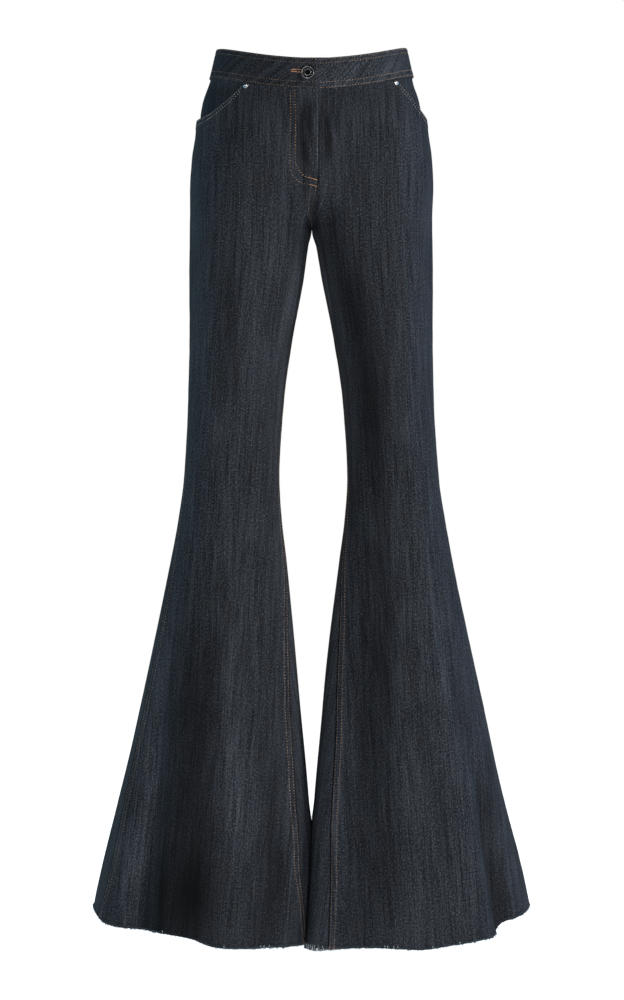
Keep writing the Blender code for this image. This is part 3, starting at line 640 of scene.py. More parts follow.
def reliefOf(side, isFront, angle, fromInner, fromOuter, z, below, alongMouth, base):
    cut = panelCut
    lift = sum(
        depth * unevenness(base, size, number) for number, (*size, depth) in enumerate(cut["lumps"])
    ) * step((topRow - z) / cut["lumpsFade"])
    lift += pressed["push"] * pressedAt(z) * nearMiddle(angle, pressed["spread"])
    worn = mark("wornHem", z - jeans["hem"])
    if not isFront:
        groove = bell(fromOuter / cut["grooveWidth"]) * step((cut["grooveTop"] - z) / 10.0)
        groove = groove + bell(fromInner / cut["grooveWidth"]) * (z < jeans["crotch"])
        ridge = -cut["groove"] * groove
        if side == "right":
            fell = cut["fellRise"] * within(fromInner, cut["fellWidth"], cut["fellSlope"])
            ridge += fell * step((z - jeans["crotch"]) / 8.0)
            pull = cut["stitchPull"] * pulls(fromInner, cut["stitchIn"], cut["stitchOut"])
            ridge -= pull * (z > jeans["crotch"])
        return lift, ridge, worn
    ridge = np.zeros_like(lift)
    roped = 1.0 + cut["roping"] * unevenness(base, (9.0, 9.0, 15.0), 7)
    belowFly = step((jeans["flyEnd"] - z) / 6.0)
    for distance, strength, (row, width) in (
        (fromOuter, 1.0, cut["outseam"]), (fromInner, belowFly, cut["inseam"]),
    ):
        fell = cut["fellRise"] * within(distance, width, cut["fellSlope"]) * roped
        pull = cut["stitchPull"] * pulls(distance, cut["stitchIn"], row)
        ridge += (fell - pull - mark("seamLine", distance)) * strength
        worn = worn + (mark("wornSeam", distance - 0.9) + mark("wornFell", distance - width)) * strength
    gape = pockets[side]["gape"] * bell(below / cut["mouthReach"])
    lift += gape * step(alongMouth / 0.5) * step(fromOuter / cut["mouthHeld"])
    turned = step(alongMouth / 0.03)
    folded = cut["mouthRise"] * within(below, cut["mouthTurned"], 1.2)
    ridge += turned * (folded - cut["mouthPull"] * pulls(below, cut["stitchIn"], cut["stitchOut"]))
    worn = worn + turned * mark("wornMouth", below)
    above = step((z - jeans["flyEnd"]) / fly["fade"])
    if side == "right":
        bend = np.clip((fly["bendTop"] - z) / fly["bendDrop"], 0.0, 1.0)
        edge = fly["width"] * np.sqrt(1.0 - bend**2)  # how far the fly's facing reaches
        ridge += fly["rise"] * step((edge - fromInner) / fly["slope"]) * (edge > 0)
        worn = worn + mark("wornLap", fromInner) * above
    else:
        lift -= fly["tuck"] * step((fly["tuckWidth"] - fromInner) / fly["tuckSlope"]) * above
    return lift, ridge, worn


def clothPiece(name, points, faces, kinds, sharp, uv, worn, tone):  # kind 1 shows the reverse
    data = bpy.data.meshes.new(name)
    data.from_pydata((points.reshape(-1, 3) * mm).tolist(), [], faces)
    data.polygons.foreach_set("material_index", kinds)
    shop = bmesh.new()
    shop.from_mesh(data)
    bmesh.ops.recalc_face_normals(shop, faces=shop.faces)
    shop.to_mesh(data)
    shop.free()
    corner = np.zeros(len(data.loops), int)
    data.loops.foreach_get("vertex_index", corner)
    layer = data.uv_layers.new(name="grain")
    layer.data.foreach_set("uv", (uv.reshape(-1, 2) * mm)[corner].ravel())
    keepOnPoints(data, worn=worn.ravel(), tone=tone.ravel())
    for material in denims:
        data.materials.append(material)
    data.shade_smooth()
    data.set_sharp_from_angle(angle=math.radians(sharp))
    return linked(name, data)


def shellPiece(name, outer, inner, uv, worn, tone):  # two skins and the rim between them
    number = np.arange(tone.size).reshape(tone.shape)
    corners = (number[:-1, :-1], number[1:, :-1], number[1:, 1:], number[:-1, 1:])
    skin = np.stack(corners, axis=-1).reshape(-1, 4)
    edge = np.concatenate([number[0], number[1:, -1], number[-1, -2::-1], number[-2:0:-1, 0]])
    after = np.roll(edge, -1)
    rim = np.stack([edge, after, after + tone.size, edge + tone.size], axis=-1)
    faces = np.concatenate([skin, skin + tone.size, rim]).tolist()
    kinds = np.repeat([0, 1, 0], [len(skin), len(skin), len(rim)])
    values = (np.stack([uv, uv]), np.stack([worn, worn * 0.5]), np.stack([tone, tone]))
    return clothPiece(name, np.stack([outer, inner]), faces, kinds, panelCut["sharp"], *values)


def seamShadow(side, isFront, fromInner, fromOuter, z):  # painted shadow in the seams' ditches, where shade falls beside the raised fell
    width = panelCut["seamShadow"]["front" if isFront else "back"]
    inner = within(fromInner, width, 1.0) * (z < jeans["flyEnd" if isFront else "crotch"])
    outer = within(fromOuter, width, 1.0) * (z < panelCut["grooveTop"])
    return 1.0 - panelCut["seamShadowDark"][side] * np.maximum(inner, outer)


def panel(name, side, isFront):
    grain = grainOf(side, isFront)
    keys = ("outer", "inner", "uv", "worn", "tone", "normal", "z", "fromInner", "fromOuter", "mouth")
    rows = []
    for z in rowHeights():
        angle, fromInner, fromOuter = columnsOf(side, isFront, z)
        top, alongMouth = topEdge(side, isFront, angle)
        z = rowHeight(side, isFront, angle, z)
        base, normal = surface(side, angle, z), facingOut(side, angle, z)
        lift, ridge, worn = reliefOf(
            side, isFront, angle, fromInner, fromOuter, z, top - z, alongMouth, base
        )
        skin, lining = (
            ownSide(side, base + normal * off[:, None], angle, z)
            for off in (lift + ridge, lift - jeans["cloth"])
        )
        # painted light and shade, with painted shadow in the seams' ditches
        tone = toneAt(side, angle, z) * seamShadow(side, isFront, fromInner, fromOuter, z)
        # painted shade where the two legs press together at the hems
        tone *= 1.0 - pressedAt(z) * mark("paintedMiddleShade", 180.0 - np.abs(angle))
        uv = np.stack([grain(angle, z), z], axis=-1)
        worn = np.clip(worn, 0, 1)
        rows.append((skin, lining, uv, worn, tone, normal, z, fromInner, fromOuter, alongMouth))
    grid = {key: np.array(column) for key, column in zip(keys, zip(*rows))}
    grid["cloth"] = np.concatenate([grid["outer"], grid["normal"], grid["z"][..., None]], axis=-1)
    return shellPiece(name, *(grid[key] for key in keys[:5])), grid


panels, grids = {}, {}
for side in sides:
    for part in ("front", "back"):
        key = part + "_" + side
        panels[key], grids[key] = panel("cloth_" + key, side, part == "front")
print("panels made")

band = {
    "proud": 0.8, "wall": 2.8, "underlap": 30.0, "dive": 3.3, "diveRun": 22.0, "every": 2.6,
    "rowsOutside": 22, "rowsInside": 8, "foldSteps": 6, "grainTurn": 40.0, "sharp": 60,
    "stitches": (16.4, 11.6, -10.4, -16.6), "pull": 0.30, "lump": 0.35, "lumpSize": (26.0, 26.0, 30.0),
    "lumpRise": 12.0, "pucker": 0.22, "puckerSize": (5.5, 5.5, 14.0), "puckerFoot": 9.0, "puckerTop": 5.0,
    # tones paints one half of the band paler and the other darker, as painted light and shade; toneReach is
    # how far from the front it reaches
    "wornTop": 1.6, "wornFoot": 0.9, "wornEnd": 1.2, "tones": (0.32, -0.10), "toneReach": 260.0,
}


def bandRun():  # side, angle and distance from the centre front of each column, and the whole way
    angle, along = alongRing("left", 180.0, -180.0, count=721)
    places = np.linspace(0.0, along[-1], int(round(along[-1] / band["every"])) + 1)
    half = np.interp(places, along, angle)
    under = np.linspace(band["underlap"], 0.0, 12)
    run = [("right", a, -d) for a, d in zip(np.interp(under, along, angle), under)]
    run += [("left", a, d) for a, d in zip(half[1:], places[1:])]
    run += [("right", a, 2 * along[-1] - d) for a, d in zip(half[-2::-1], places[-2::-1])]
    return run, 2 * along[-1]


def bandProfile():  # height and offset of each point round the folded strip, and whether it is outside
    top, foot, wall = jeans["waistTop"], jeans["waistSeam"], band["wall"]
    fold = wall / 2
    outside = [(h, 0.0, 1.0) for h in np.linspace(foot, top - fold, band["rowsOutside"])]
    turns = np.linspace(0, math.pi, band["foldSteps"] + 1)[1:-1]
    over = [(top - fold + fold * math.sin(t), -fold + fold * math.cos(t), 0.5) for t in turns]
    return outside + over + [(h, -wall, 0.0) for h in np.linspace(top - fold, foot, band["rowsInside"])]


def makeBand():
    run, total = bandRun()
    heights, offsets, outside = np.array(bandProfile()).T
    top, foot = jeans["waistTop"], jeans["waistSeam"]
    columns = []
    lean = math.radians(band["grainTurn"])
    for side, angle, distance in run:
        base, normal = surface(side, angle, heights), facingOut(side, angle, heights)
        off = band["proud"] - band["dive"] * float(step(1.0 - distance / band["diveRun"])) + offsets
        lump = band["lump"] * unevenness(base, band["lumpSize"], 3)
        off += lump * step((heights - foot) / band["lumpRise"])
        near = bell((heights - foot) / band["puckerFoot"]) + 0.6 * bell((heights - 14.0) / band["puckerTop"])
        off += band["pucker"] * near * unevenness(base, band["puckerSize"], 9)
        off -= band["pull"] * outside * pulls(heights, *band["stitches"])
        edges = bell((heights - top) / band["wornTop"]) + 0.5 * bell((heights - foot) / band["wornFoot"])
        rubbed = 0.55 * edges + 0.5 * bell((total - distance) / band["wornEnd"])
        across = -distance * math.sin(lean) + heights * math.cos(lean)
        along = distance * math.cos(lean) + heights * math.sin(lean)
        # Painted light on the wearer's left half of the band and painted shade on the right, strongest at
        # the front.
        pale = band["tones"][0 if distance < total / 2 else 1]
        tone = 0.5 + pale * float(within(min(distance, total - distance), 0.0, band["toneReach"]))
        columns.append((
            base + normal * off[:, None], np.stack([across, along], axis=-1),
            np.clip(rubbed, 0, 1) * (0.3 + 0.7 * outside), np.full(len(heights), tone),
        ))
    points, uv, worn, tone = (np.array(values) for values in zip(*columns))
    number = np.arange(tone.size).reshape(tone.shape)
    turned = np.roll(number, -1, axis=1)
    faces = np.stack([number[:-1], turned[:-1], turned[1:], number[1:]], axis=-1).reshape(-1, 4)
    isInside = np.arange(len(heights)) >= band["rowsOutside"] + band["foldSteps"] - 1
    isInside[-1] = False
    kinds = [*np.tile(isInside.astype(int), len(run) - 1), 0, 0]
    faces = [*faces.tolist(), number[0].tolist(), number[-1, ::-1].tolist()]
    piece = clothPiece("cloth_waistband", points, faces, kinds, band["sharp"], uv, worn, tone)
    shown = band["rowsOutside"]
    return piece, points[:, :shown], heights[:shown], np.array([d for _, _, d in run]), total


bandPiece, bandPoints, bandHeights, bandPlaces, bandTotal = makeBand()
print("waistband made")

facing = {
    "clear": 0.6, "under": 20.0, "fall": 14.0, "lap": 4.0, "sinkFull": 0.3, "sinkEnd": 0.45,
    "columns": 44, "rows": 30, "lump": 0.35, "tone": {"right": -0.12, "left": 0.10},
}


def pocketFacing(side):
    pocket = pockets[side]
    outseam = seamAngle(side, 1, topRow - pocket["depth"])
    angle = np.linspace(pocket["angle"] + facing["lap"], outseam - facing["lap"], facing["columns"])
    mouth, alongMouth = topEdge(side, True, angle)
    grain = grainOf(side, True)
    rows = []
    for share in np.linspace(0.0, 1.0, facing["rows"]):
        height = topRow + share * (mouth - facing["under"] - topRow)
        sunk = step((topRow - height) / facing["fall"]) * step(alongMouth / facing["sinkFull"])
        sunk = sunk * step((1.0 - alongMouth) / (1.0 - facing["sinkEnd"]))
        base, normal = surface(side, angle, height), facingOut(side, angle, height)
        lump = facing["lump"] * unevenness(base, (16.0, 16.0, 22.0), 4)
        back = jeans["cloth"] + facing["clear"] + (pocket["sink"] - lump) * sunk
        rows.append((
            base - normal * back[:, None], base - normal * (back + jeans["cloth"])[:, None],
            np.stack([grain(angle, height), height], axis=-1), np.zeros_like(height),
            # painted shade in the sunk part of the right facing, painted light in the left one
            0.5 + facing["tone"][side] * sunk,
        ))
    return shellPiece("cloth_pocket_facing_" + side, *(np.array(values) for values in zip(*rows)))


facings = {side: pocketFacing(side) for side in sides}
print("pocket facings made")


# Lines on the cloth that the stitching follows; each row is a point and the way the cloth faces.
def sample(at, along, rows):  # between rows of numbers, at a distance along them
    if along[0] > along[-1]:
        along, rows = along[::-1], rows[::-1]
    return np.array([np.interp(at, along, column) for column in rows.T])


def between(rows, place, at, along):  # the same between two neighbouring lines of rows
    i = min(int(place), len(rows) - 2)
    share = place - i
    first, second = (sample(at, along[k] if along.ndim > 1 else along, rows[k]) for k in (i, i + 1))
    return first * (1 - share) + second * share


def rowLine(name, key, distance, top, low=jeans["hem"] + 1.0):  # down a panel, off a seam
    grid = grids[name]
    line = np.array([sample(distance, *row) for row in zip(grid[key], grid["cloth"])])
    return line[(line[:, 6] >= low) & (line[:, 6] <= top), :6]


def mouthLine(grid, distance):  # along a pocket's mouth, that far below it
    line = []
    for column in np.flatnonzero((grid["mouth"][0] >= 0.02) & (grid["mouth"][0] <= 0.97)):
        strip = grid["cloth"][:60, column, :6]
        line.append(sample(distance, lengthAlong(strip[:, :3]), strip))
    return np.array(line)


def freeLine(pairs, count=160):  # through pairs of distance from the lap's edge, and height
    grid = grids["front_right"]
    pairs = np.array(pairs, float)
    steps = lengthAlong(pairs)
    even = sample(np.linspace(0.0, steps[-1], count), steps, pairs)
    rows = grid["z"][:, 0]
    places = np.interp(-even[1], -rows, np.arange(len(rows)))
    return np.array([
        between(grid["cloth"][..., :6], place, distance, grid["fromInner"])
        for distance, place in zip(even[0], places)
    ])


def bandAt(distance, height):
    place = float(np.interp(distance, bandPlaces, np.arange(len(bandPlaces))))
    return between(bandPoints, place, height, bandHeights)


def bandLine(pairs):  # through pairs of distance along the band and height
    line = []
    for distance, height in pairs:
        ahead = bandAt(distance + 1.5, height) - bandAt(distance - 1.5, height)
        up = bandAt(distance, height + 1.5) - bandAt(distance, height - 1.5)
        normal = np.cross(ahead, up)
        line.append([*bandAt(distance, height), *(normal / np.linalg.norm(normal))])
    return np.array(line)


def bandRows(start, end, every=2.0):
    return [bandLine([(d, h) for d in np.arange(start, end, every)]) for h in band["stitches"]]


# Trees that lay thread along lines.
def startTree(name, sizes):  # its path as a curve with a point at every spacing
    tree = bpy.data.node_groups.new(name, "GeometryNodeTree")
    kinds = {"Path": "Geometry", "Seed": "Int", "Thread": "Material"}
    for label in ("Path", "Spacing", *sizes, "Thread"):
        kind = "NodeSocket" + kinds.get(label, "Float")
        tree.interface.new_socket(label, in_out="INPUT", socket_type=kind)
    tree.interface.new_socket("Result", in_out="OUTPUT", socket_type="NodeSocketGeometry")
    shop = NodeShop(tree)
    given = shop.add("NodeGroupInput")
    curve = shop.add("GeometryNodeMeshToCurve", {}, (given,))
    spaced = {"Curve": curve, "Length": given.of("Spacing")}
    return tree, shop, given, shop.add("GeometryNodeResampleCurve", {"mode": "LENGTH"}, spaced)


def finishTree(tree, shop, given, made):
    real = shop.add("GeometryNodeRealizeInstances", {}, (made,))
    done = shop.add("GeometryNodeSetMaterial", {}, {"Geometry": real, "Material": given.of("Thread")})
    shop.add("NodeGroupOutput", {}, (done,))
    return tree


def smooth(shop, made):
    return shop.add("GeometryNodeSetShadeSmooth", {}, {"Geometry": made})


def tube(shop, curve, resolution, radius):
    profile = shop.add("GeometryNodeCurvePrimitiveCircle", {}, {"Resolution": resolution, "Radius": radius})
    tubed = {"Curve": curve, "Profile Curve": profile, "Fill Caps": True}
    return smooth(shop, shop.add("GeometryNodeCurveToMesh", {}, tubed))


def named(shop, name, kind="FLOAT_VECTOR"):
    return shop.add("GeometryNodeInputNamedAttribute", {"data_type": kind}, (name,))


def varied(shop, low, high, seed):
    kind = "FLOAT_VECTOR" if isinstance(low, tuple) else "FLOAT"
    limits = {"Min": low, "Max": high, "Seed": seed}
    return shop.add("FunctionNodeRandomValue", {"data_type": kind}, limits)


def align(shop, rotation, vector, **axes):
    return shop.add("FunctionNodeAlignRotationToVector", axes, (rotation, 1.0, vector))


def copies(shop, points, piece, rotation, turn, scale):  # at each point, turned where it stands
    turn = shop.add("FunctionNodeEulerToRotation", {}, (turn,))
    rotation = shop.add("FunctionNodeRotateRotation", {"rotation_space": "LOCAL"}, (rotation, turn))
    placed = {"Points": points, "Instance": piece, "Rotation": rotation, "Scale": scale}
    return shop.add("GeometryNodeInstanceOnPoints", {}, placed)


def stitchTree():
    sizes = ("Length", "Width", "Height", "Turn", "Slant")
    tree, shop, given, points = startTree("stitch_rows", sizes)
    ball = shop.add("GeometryNodeMeshUVSphere", {}, {"Segments": 6, "Rings": 4, "Radius": 0.5})
    size = shop.joined(*(given.of(key) for key in sizes[:3]))
    bar = smooth(shop, shop.add("GeometryNodeTransform", {}, {"Geometry": ball, "Scale": size}))
    upright = align(shop, None, named(shop, "facing"), axis="Z")
    along = align(shop, upright, shop.add("GeometryNodeInputTangent"), axis="X", pivot_axis="Z")
    slant = varied(shop, -1.0, 1.0, 4) * given.of("Slant")
    turn = shop.joined(0.0, 0.0, given.of("Turn") + slant)
    scale = varied(shop, (0.88, 0.85, 0.85), (1.08, 1.12, 1.15), 9)
    return finishTree(tree, shop, given, copies(shop, points, bar, along, turn, scale))


def frayTree():
    sizes = ("Thickness", "Tilt", "Seed")
    tree, shop, given, points = startTree("frayed_threads", sizes)
    bend = {"Start": (0.0, 0.0, 0.06), "Middle": (0.04, 0.0, -0.55), "End": (0.38, 0.0, -1.0)}
    curve = shop.add("GeometryNodeCurveQuadraticBezier", {}, {"Resolution": 4, **bend})
    thread = tube(shop, curve, 4, given.of("Thickness"))
    up = shop.vector("MULTIPLY", named(shop, "down"), (-1.0, -1.0, -1.0))
    seed, tilt = given.of("Seed"), given.of("Tilt")
    spin = varied(shop, -3.14, 3.14, seed)
    turn = shop.joined(varied(shop, tilt * -1.0, tilt, seed + 1.0), 0.0, spin)
    scale = named(shop, "reach", "FLOAT") * varied(shop, 0.6, 1.2, seed + 2.0)
    upright = align(shop, None, up, axis="Z")
    return finishTree(tree, shop, given, copies(shop, points, thread, upright, turn, scale))


def yarnTree():
    tree, shop, given, curve = startTree("edge_yarn", ("Stray", "Thickness"))
    noisy = {"Vector": shop.add("GeometryNodeInputPosition"), "Scale": 210.0, "Detail": 1.0}
    wave = shop.add("ShaderNodeTexNoise", {}, noisy).of("Color")
    stray = shop.vector("MULTIPLY", shop.vector("SUBTRACT", wave, (0.5, 0.5, 0.5)), given.of("Stray"))
    curve = shop.add("GeometryNodeSetPosition", {}, {"Geometry": curve, "Offset": stray})
    return finishTree(tree, shop, given, tube(shop, curve, 5, given.of("Thickness")))


def grow(name, lines, tree, values, **onPoints):  # runs a tree on lines and keeps a plain mesh
    verts = np.concatenate(lines)
    breaks = set(np.cumsum([len(line) for line in lines]).tolist())
    edges = [(i, i + 1) for i in range(len(verts) - 1) if i + 1 not in breaks]
    data = bpy.data.meshes.new(name)
    data.from_pydata((verts[:, :3] * mm).tolist(), edges, [])
    keepOnPoints(data, facing=verts[:, 3:], **onPoints)
    path = linked(name, data)
    modifier = path.modifiers.new("grow", "NODES")
    modifier.node_group = tree
    for item in tree.interface.items_tree:
        if item.name in values:
            modifier[item.identifier] = values[item.name]
    bpy.context.view_layer.update()
    graph = bpy.context.evaluated_depsgraph_get()
    data = bpy.data.meshes.new_from_object(
        path.evaluated_get(graph), preserve_all_data_layers=True, depsgraph=graph
    )
    bpy.data.objects.remove(path)
    data.name = name
    for key in ("facing", "down", "reach"):
        if key in data.attributes:
            data.attributes.remove(data.attributes[key])
    return linked(name, data)


# Stitching on the legs, the seat, the fly, the pockets and the waistband.
stitching = {
    "Spacing": 3.6 * mm, "Length": 1.35 * mm, "Width": 0.9 * mm, "Height": 0.6 * mm,
    "Turn": 0.0, "Slant": math.radians(7.0), "Thread": threads["copper"],
}
stitchRows, sewn = stitchTree(), []


def stitch(name, lines, thread="copper", look=stitching, **changes):
    sewn.append(grow(name, lines, stitchRows, {**look, "Thread": threads[thread], **changes}))


flyOuter = (
    (34.1, -22), (35.2, -78), (34.7, -122), (34.6, -142), (33.6, -148), (30, -154), (23.5, -160),
    (18.2, -162), (12.9, -163), (7.1, -164), (2, -166),
)
flyInner = (
    (28.8, -22), (28.6, -122), (28.5, -134), (27.2, -140), (23.7, -146), (17.6, -153), (13.6, -154.5),
    (7.5, -156), (2, -158),
)
twin = (panelCut["stitchIn"], panelCut["stitchOut"])
inseams, outseams = (
    [(side, d) for side in sides for d in (twin[0], panelCut[seam][0])] for seam in ("inseam", "outseam")
)
legLines = [rowLine("front_" + side, "fromInner", d, jeans["crotch"] - 6) for side, d in inseams]
legLines += [freeLine(flyOuter), freeLine(flyInner)]
legLines += [rowLine("back_right", "fromInner", d, topRow, jeans["crotch"]) for d in twin]
stitch("seam_stitches", legLines)
stitch("outseam_stitches", [
    rowLine("front_" + side, "fromOuter", d, topRow - pockets[side]["depth"] - 3) for side, d in outseams
], "dullAndShaded")
# The crotch stitches use the dim thread as painted shade.
stitch("crotch_stitches", [
    rowLine("front_right", "fromInner", d, jeans["flyEnd"] - 12, jeans["crotch"]) for d in twin
], "shadedCopper")
stitch("pocket_stitches", [mouthLine(grids["front_" + side], d) for side in sides for d in twin], "grey")
stitch("waistband_stitches", bandRows(3.0, bandTotal / 2))
# The wearer's right half of the band is sewn in the darker dull thread as painted shade.
stitch("waistband_lap_stitches", bandRows(bandTotal / 2, bandTotal - 2.2), "dullAndShaded")
# The band's end stitches use the dim thread as painted shade.
endLine = bandLine([(bandTotal - 2.4, h) for h in np.linspace(15.6, -15.8, 16)])
stitch("band_end_stitches", [endLine], "shadedCopper")
print("stitching made")

buttonhole = {"start": 21.6, "end": 33.0, "height": 1.8, "half": 1.3, "slitStart": 21.0, "slitEnd": 32.4}
tackPairs = (((12.5, -154.6), (7.5, -156.4), (1.5, -158.2)), ((10, -163.6), (5, -164.6), (0.8, -166)))
purl = {
    **stitching, "Spacing": 0.66 * mm, "Length": 1.5 * mm, "Width": 0.5 * mm,
    "Turn": math.radians(90.0), "Slant": math.radians(9.0),
}


def holeLine():  # round the slit, open at the button
    start, end, middle, half = (buttonhole[key] for key in ("start", "end", "height", "half"))
    straight = [(d, middle + half) for d in np.linspace(start, end - half, 20)]
    around = np.linspace(0.0, math.pi, 14)[1:-1]
    turn = [(end - half + half * math.sin(t), middle + half * math.cos(t)) for t in around]
    back = [(d, middle - half) for d in np.linspace(end - half, start, 20)]
    return bandLine([(bandTotal - d, h) for d, h in straight + turn + back])


stitch("buttonhole_stitches", [holeLine()], "orange", purl)
# A dark strip laid in the buttonhole's slit, in the yarn's darkest colour, is painted shadow: it stands for
# the shade inside the slit.
slitPlaces = np.linspace(buttonhole["slitStart"], buttonhole["slitEnd"], 14)
slitLine = bandLine([(bandTotal - d, buttonhole["height"]) for d in slitPlaces])
slitLook = {**purl, "Length": 0.8 * mm, "Height": 0.3 * mm, "Thread": frayedYarn}
slitShadow = grow("buttonhole_slit_painted_shadow", [slitLine], stitchRows, slitLook)
stitch(
    "bar_tacks", [freeLine(pairs, 14) for pairs in tackPairs], "orange", purl,
    Spacing=0.6 * mm, Length=1.05 * mm, Slant=math.radians(24.0),
)

hemLook = {
    "count": 1441, "low": 2.2, "high": 5.0, "off": 0.25, "base": 2.9, "ragged": 1.1,
    "pale": 0.12, "patchy": 0.14, "edgeDrop": 2.3, "edgeIn": 0.8, "edgePale": 0.8,
}
# Where the hems are more frayed: angle, spread, longer by, paler by.
frayedSpots = {
    "left": (
        (160, 22, 2.6, 0.04), (128, 14, 0.8, 0.05), (62, 14, 0.6, 0.14), (98, 9, 0.5, 0.05),
        (-110, 26, 0.7, 0.14),
    ),
    "right": ((128, 24, 0.7, 0.08), (60, 12, 0.5, 0.1), (-70, 30, 0.6, 0.12), (-160, 15, 0.9, 0.3)),
}


def hemPath(side):  # round a hem: its line, the way down, and the threads' length and paleness
    angle = np.linspace(-180.0, 180.0, hemLook["count"])
    low, high = jeans["hem"] + hemLook["low"], jeans["hem"] + hemLook["high"]
    normal = facingOut(side, angle, low)
    push = (pressed["push"] * nearMiddle(angle, pressed["spread"]) + hemLook["off"])[:, None]
    foot, above = (ownSide(side, surface(side, angle, z) + normal * push, angle, z) for z in (low, high))
    length = hemLook["base"] + hemLook["ragged"] * unevenness(foot, (6.0, 6.0, 6.0), 5)
    light = hemLook["pale"] + hemLook["patchy"] * unevenness(foot, (11.0, 11.0, 11.0), 6)
    for middle, wide, longer, paler in frayedSpots[side]:
        length += longer * bell((angle - middle) / wide)
        light += paler * bell((angle - middle) / wide)
    down = (foot - above) / np.linalg.norm(foot - above, axis=1, keepdims=True)
    reach, pale = np.clip(length, 0.5, 6.5) * mm, np.clip(light, 0, 1)
    return {"line": np.hstack([foot, normal]), "down": down, "reach": reach, "pale": pale}


hems = {side: hemPath(side) for side in sides}
threadsOf = {key: np.concatenate([hem[key] for hem in hems.values()]) for key in ("down", "reach", "pale")}
frayed = {"Spacing": 0.5 * mm, "Thickness": 0.075, "Tilt": 0.42, "Seed": 3, "Thread": frayedYarn}
fray = grow("hem_fray", [hem["line"] for hem in hems.values()], frayTree(), frayed, **threadsOf)
yarnRows = yarnTree()


def layYarn(name, lines, spacing, stray, thickness, thread=frayedYarn, **onPoints):
    sizes = {"Spacing": spacing * mm, "Stray": stray * mm, "Thickness": thickness * mm, "Thread": thread}
    return grow(name, lines, yarnRows, sizes, **onPoints)


edgeLines = []
for hem in hems.values():
    points, normals = np.hsplit(hem["line"], 2)
    edge = points + hem["down"] * hemLook["edgeDrop"] - normals * hemLook["edgeIn"]
    edgeLines.append(np.hstack([edge, normals]))
edgeYarn = layYarn("hem_edge_yarn", edgeLines, 1.4, 2.2, 0.17, pale=threadsOf["pale"] * hemLook["edgePale"])

looseThreads = {  # angles where a pale yarn lies on the cloth, and its length
    "left": (
        (168, 4.2), (165, 5.6), (162, 6.4), (159.5, 5.2), (157, 4.4), (155, 5.8), (151, 4.8), (147, 3),
        (107.5, 2.6), (106, 3.6), (103, 3.9), (101, 2.4), (84, 2.2), (70, 2.8), (-96, 3), (-120, 3.6),
        (-124, 2.6), (-62, 2.4),
    ),
    "right": (
        (133, 2.8), (129.5, 3.6), (127, 2.2), (104, 2.4), (72, 2), (-84, 3.2), (-88, 2.6), (-140, 3.6),
        (-143, 4.2), (-148, 2.8),
    ),
}
loose = {"points": 7, "off": 1.0, "start": -1.6, "aside": 0.16, "pale": 0.95}
tails = {"points": 6, "off": 0.3, "sways": (-0.9, 0.7)}


def strand(point, normal, below, kind, length, sway):  # a loose thread that lies on the cloth
    share = np.linspace(0.0, 1.0, kind["points"])[:, None]
    path = point + normal * kind["off"] + below * (share * length + kind.get("start", 0.0))
    path = path + np.cross(below, normal) * sway * share**2
    return np.hstack([path, np.tile(normal, (kind["points"], 1))])


looseLines = []
for side, hem in hems.items():
    for angle, length in looseThreads[side]:
        k = int((angle + 180.0) / 360.0 * (hemLook["count"] - 1))
        sway = math.sin(angle * 7.0) * length * loose["aside"]
        looseLines.append(strand(*np.split(hem["line"][k], 2), hem["down"][k], loose, length, sway))
loosePale = np.full(loose["points"] * len(looseLines), loose["pale"])
looseYarn = layYarn("loose_yarns", looseLines, 0.6, 0.7, 0.25, pale=loosePale)


def tail(side, key, distance, length, sway):  # a thread's loose end below the last stitch
    line = rowLine("front_" + side, key, distance, -900)
    below = line[-1, :3] - line[-3, :3]
    below = below / np.linalg.norm(below)
    return strand(line[-1, :3], line[-1, 3:], below, tails, length, sway)


tailLines = []
for side, lengths in {"left": (4.2, 3.6), "right": (2.6, 3.0)}.items():
    for distance, length in zip((panelCut["stitchIn"], panelCut["inseam"][0]), lengths):
        tailLines += [tail(side, "fromInner", distance, length + sway, sway) for sway in tails["sways"]]
    tailLines.append(tail(side, "fromOuter", panelCut["stitchIn"], 2.4, 0.5))
sewn.append(layYarn("thread_tails", tailLines, 0.8, 0.5, 0.16, threads["orange"]))
print("buttonhole, bar tacks and hems made")

metal = {
    "buttonRadius": 8.6, "buttonFromEdge": 13.2, "buttonClear": 0.75, "rivetRadius": 3.7,
    "rivetTurn": 2.0, "rivetClear": 0.4, "buttonSegments": 72, "rivetSegments": 48,
    "beads": 26, "beadRing": 0.62, "beadHeight": 2.15, "beadRadius": 0.52, "beadSegments": 12,
}
# Profiles: share of the radius, and height.
beadTurns = [math.pi * k / 8 for k in range(1, 8)]
beadBow = [(math.sin(t), -metal["beadRadius"] * math.cos(t)) for t in beadTurns]
beadProfile = [(0, -metal["beadRadius"]), *beadBow, (0, metal["beadRadius"])]
buttonProfile = (
    (0, 0), (0.3, 0), (0.32, 0.45), (0.6, 0.55), (0.88, 0.66), (0.95, 0.85), (0.99, 1.15), (1, 1.55),
    (0.99, 2), (0.965, 2.45), (0.93, 2.8), (0.885, 3.02), (0.85, 3.08), (0.81, 3.02), (0.775, 2.85),
    (0.74, 2.6), (0.71, 2.25), (0.68, 2.05), (0.62, 1.98), (0.56, 2.02), (0.53, 2.3), (0.5, 2.68),
    (0.46, 2.86), (0.42, 2.86), (0.385, 2.7), (0.355, 2.3), (0.33, 1.75), (0.31, 1.15), (0.26, 0.95),
    (0.14, 0.88), (0, 0.86),
)
buttonRecess = (15, 16, 17, 18, 19, 25, 26, 27, 28, 29)  # rows of the profile, the groove and the centre well, in dark metal as painted shade
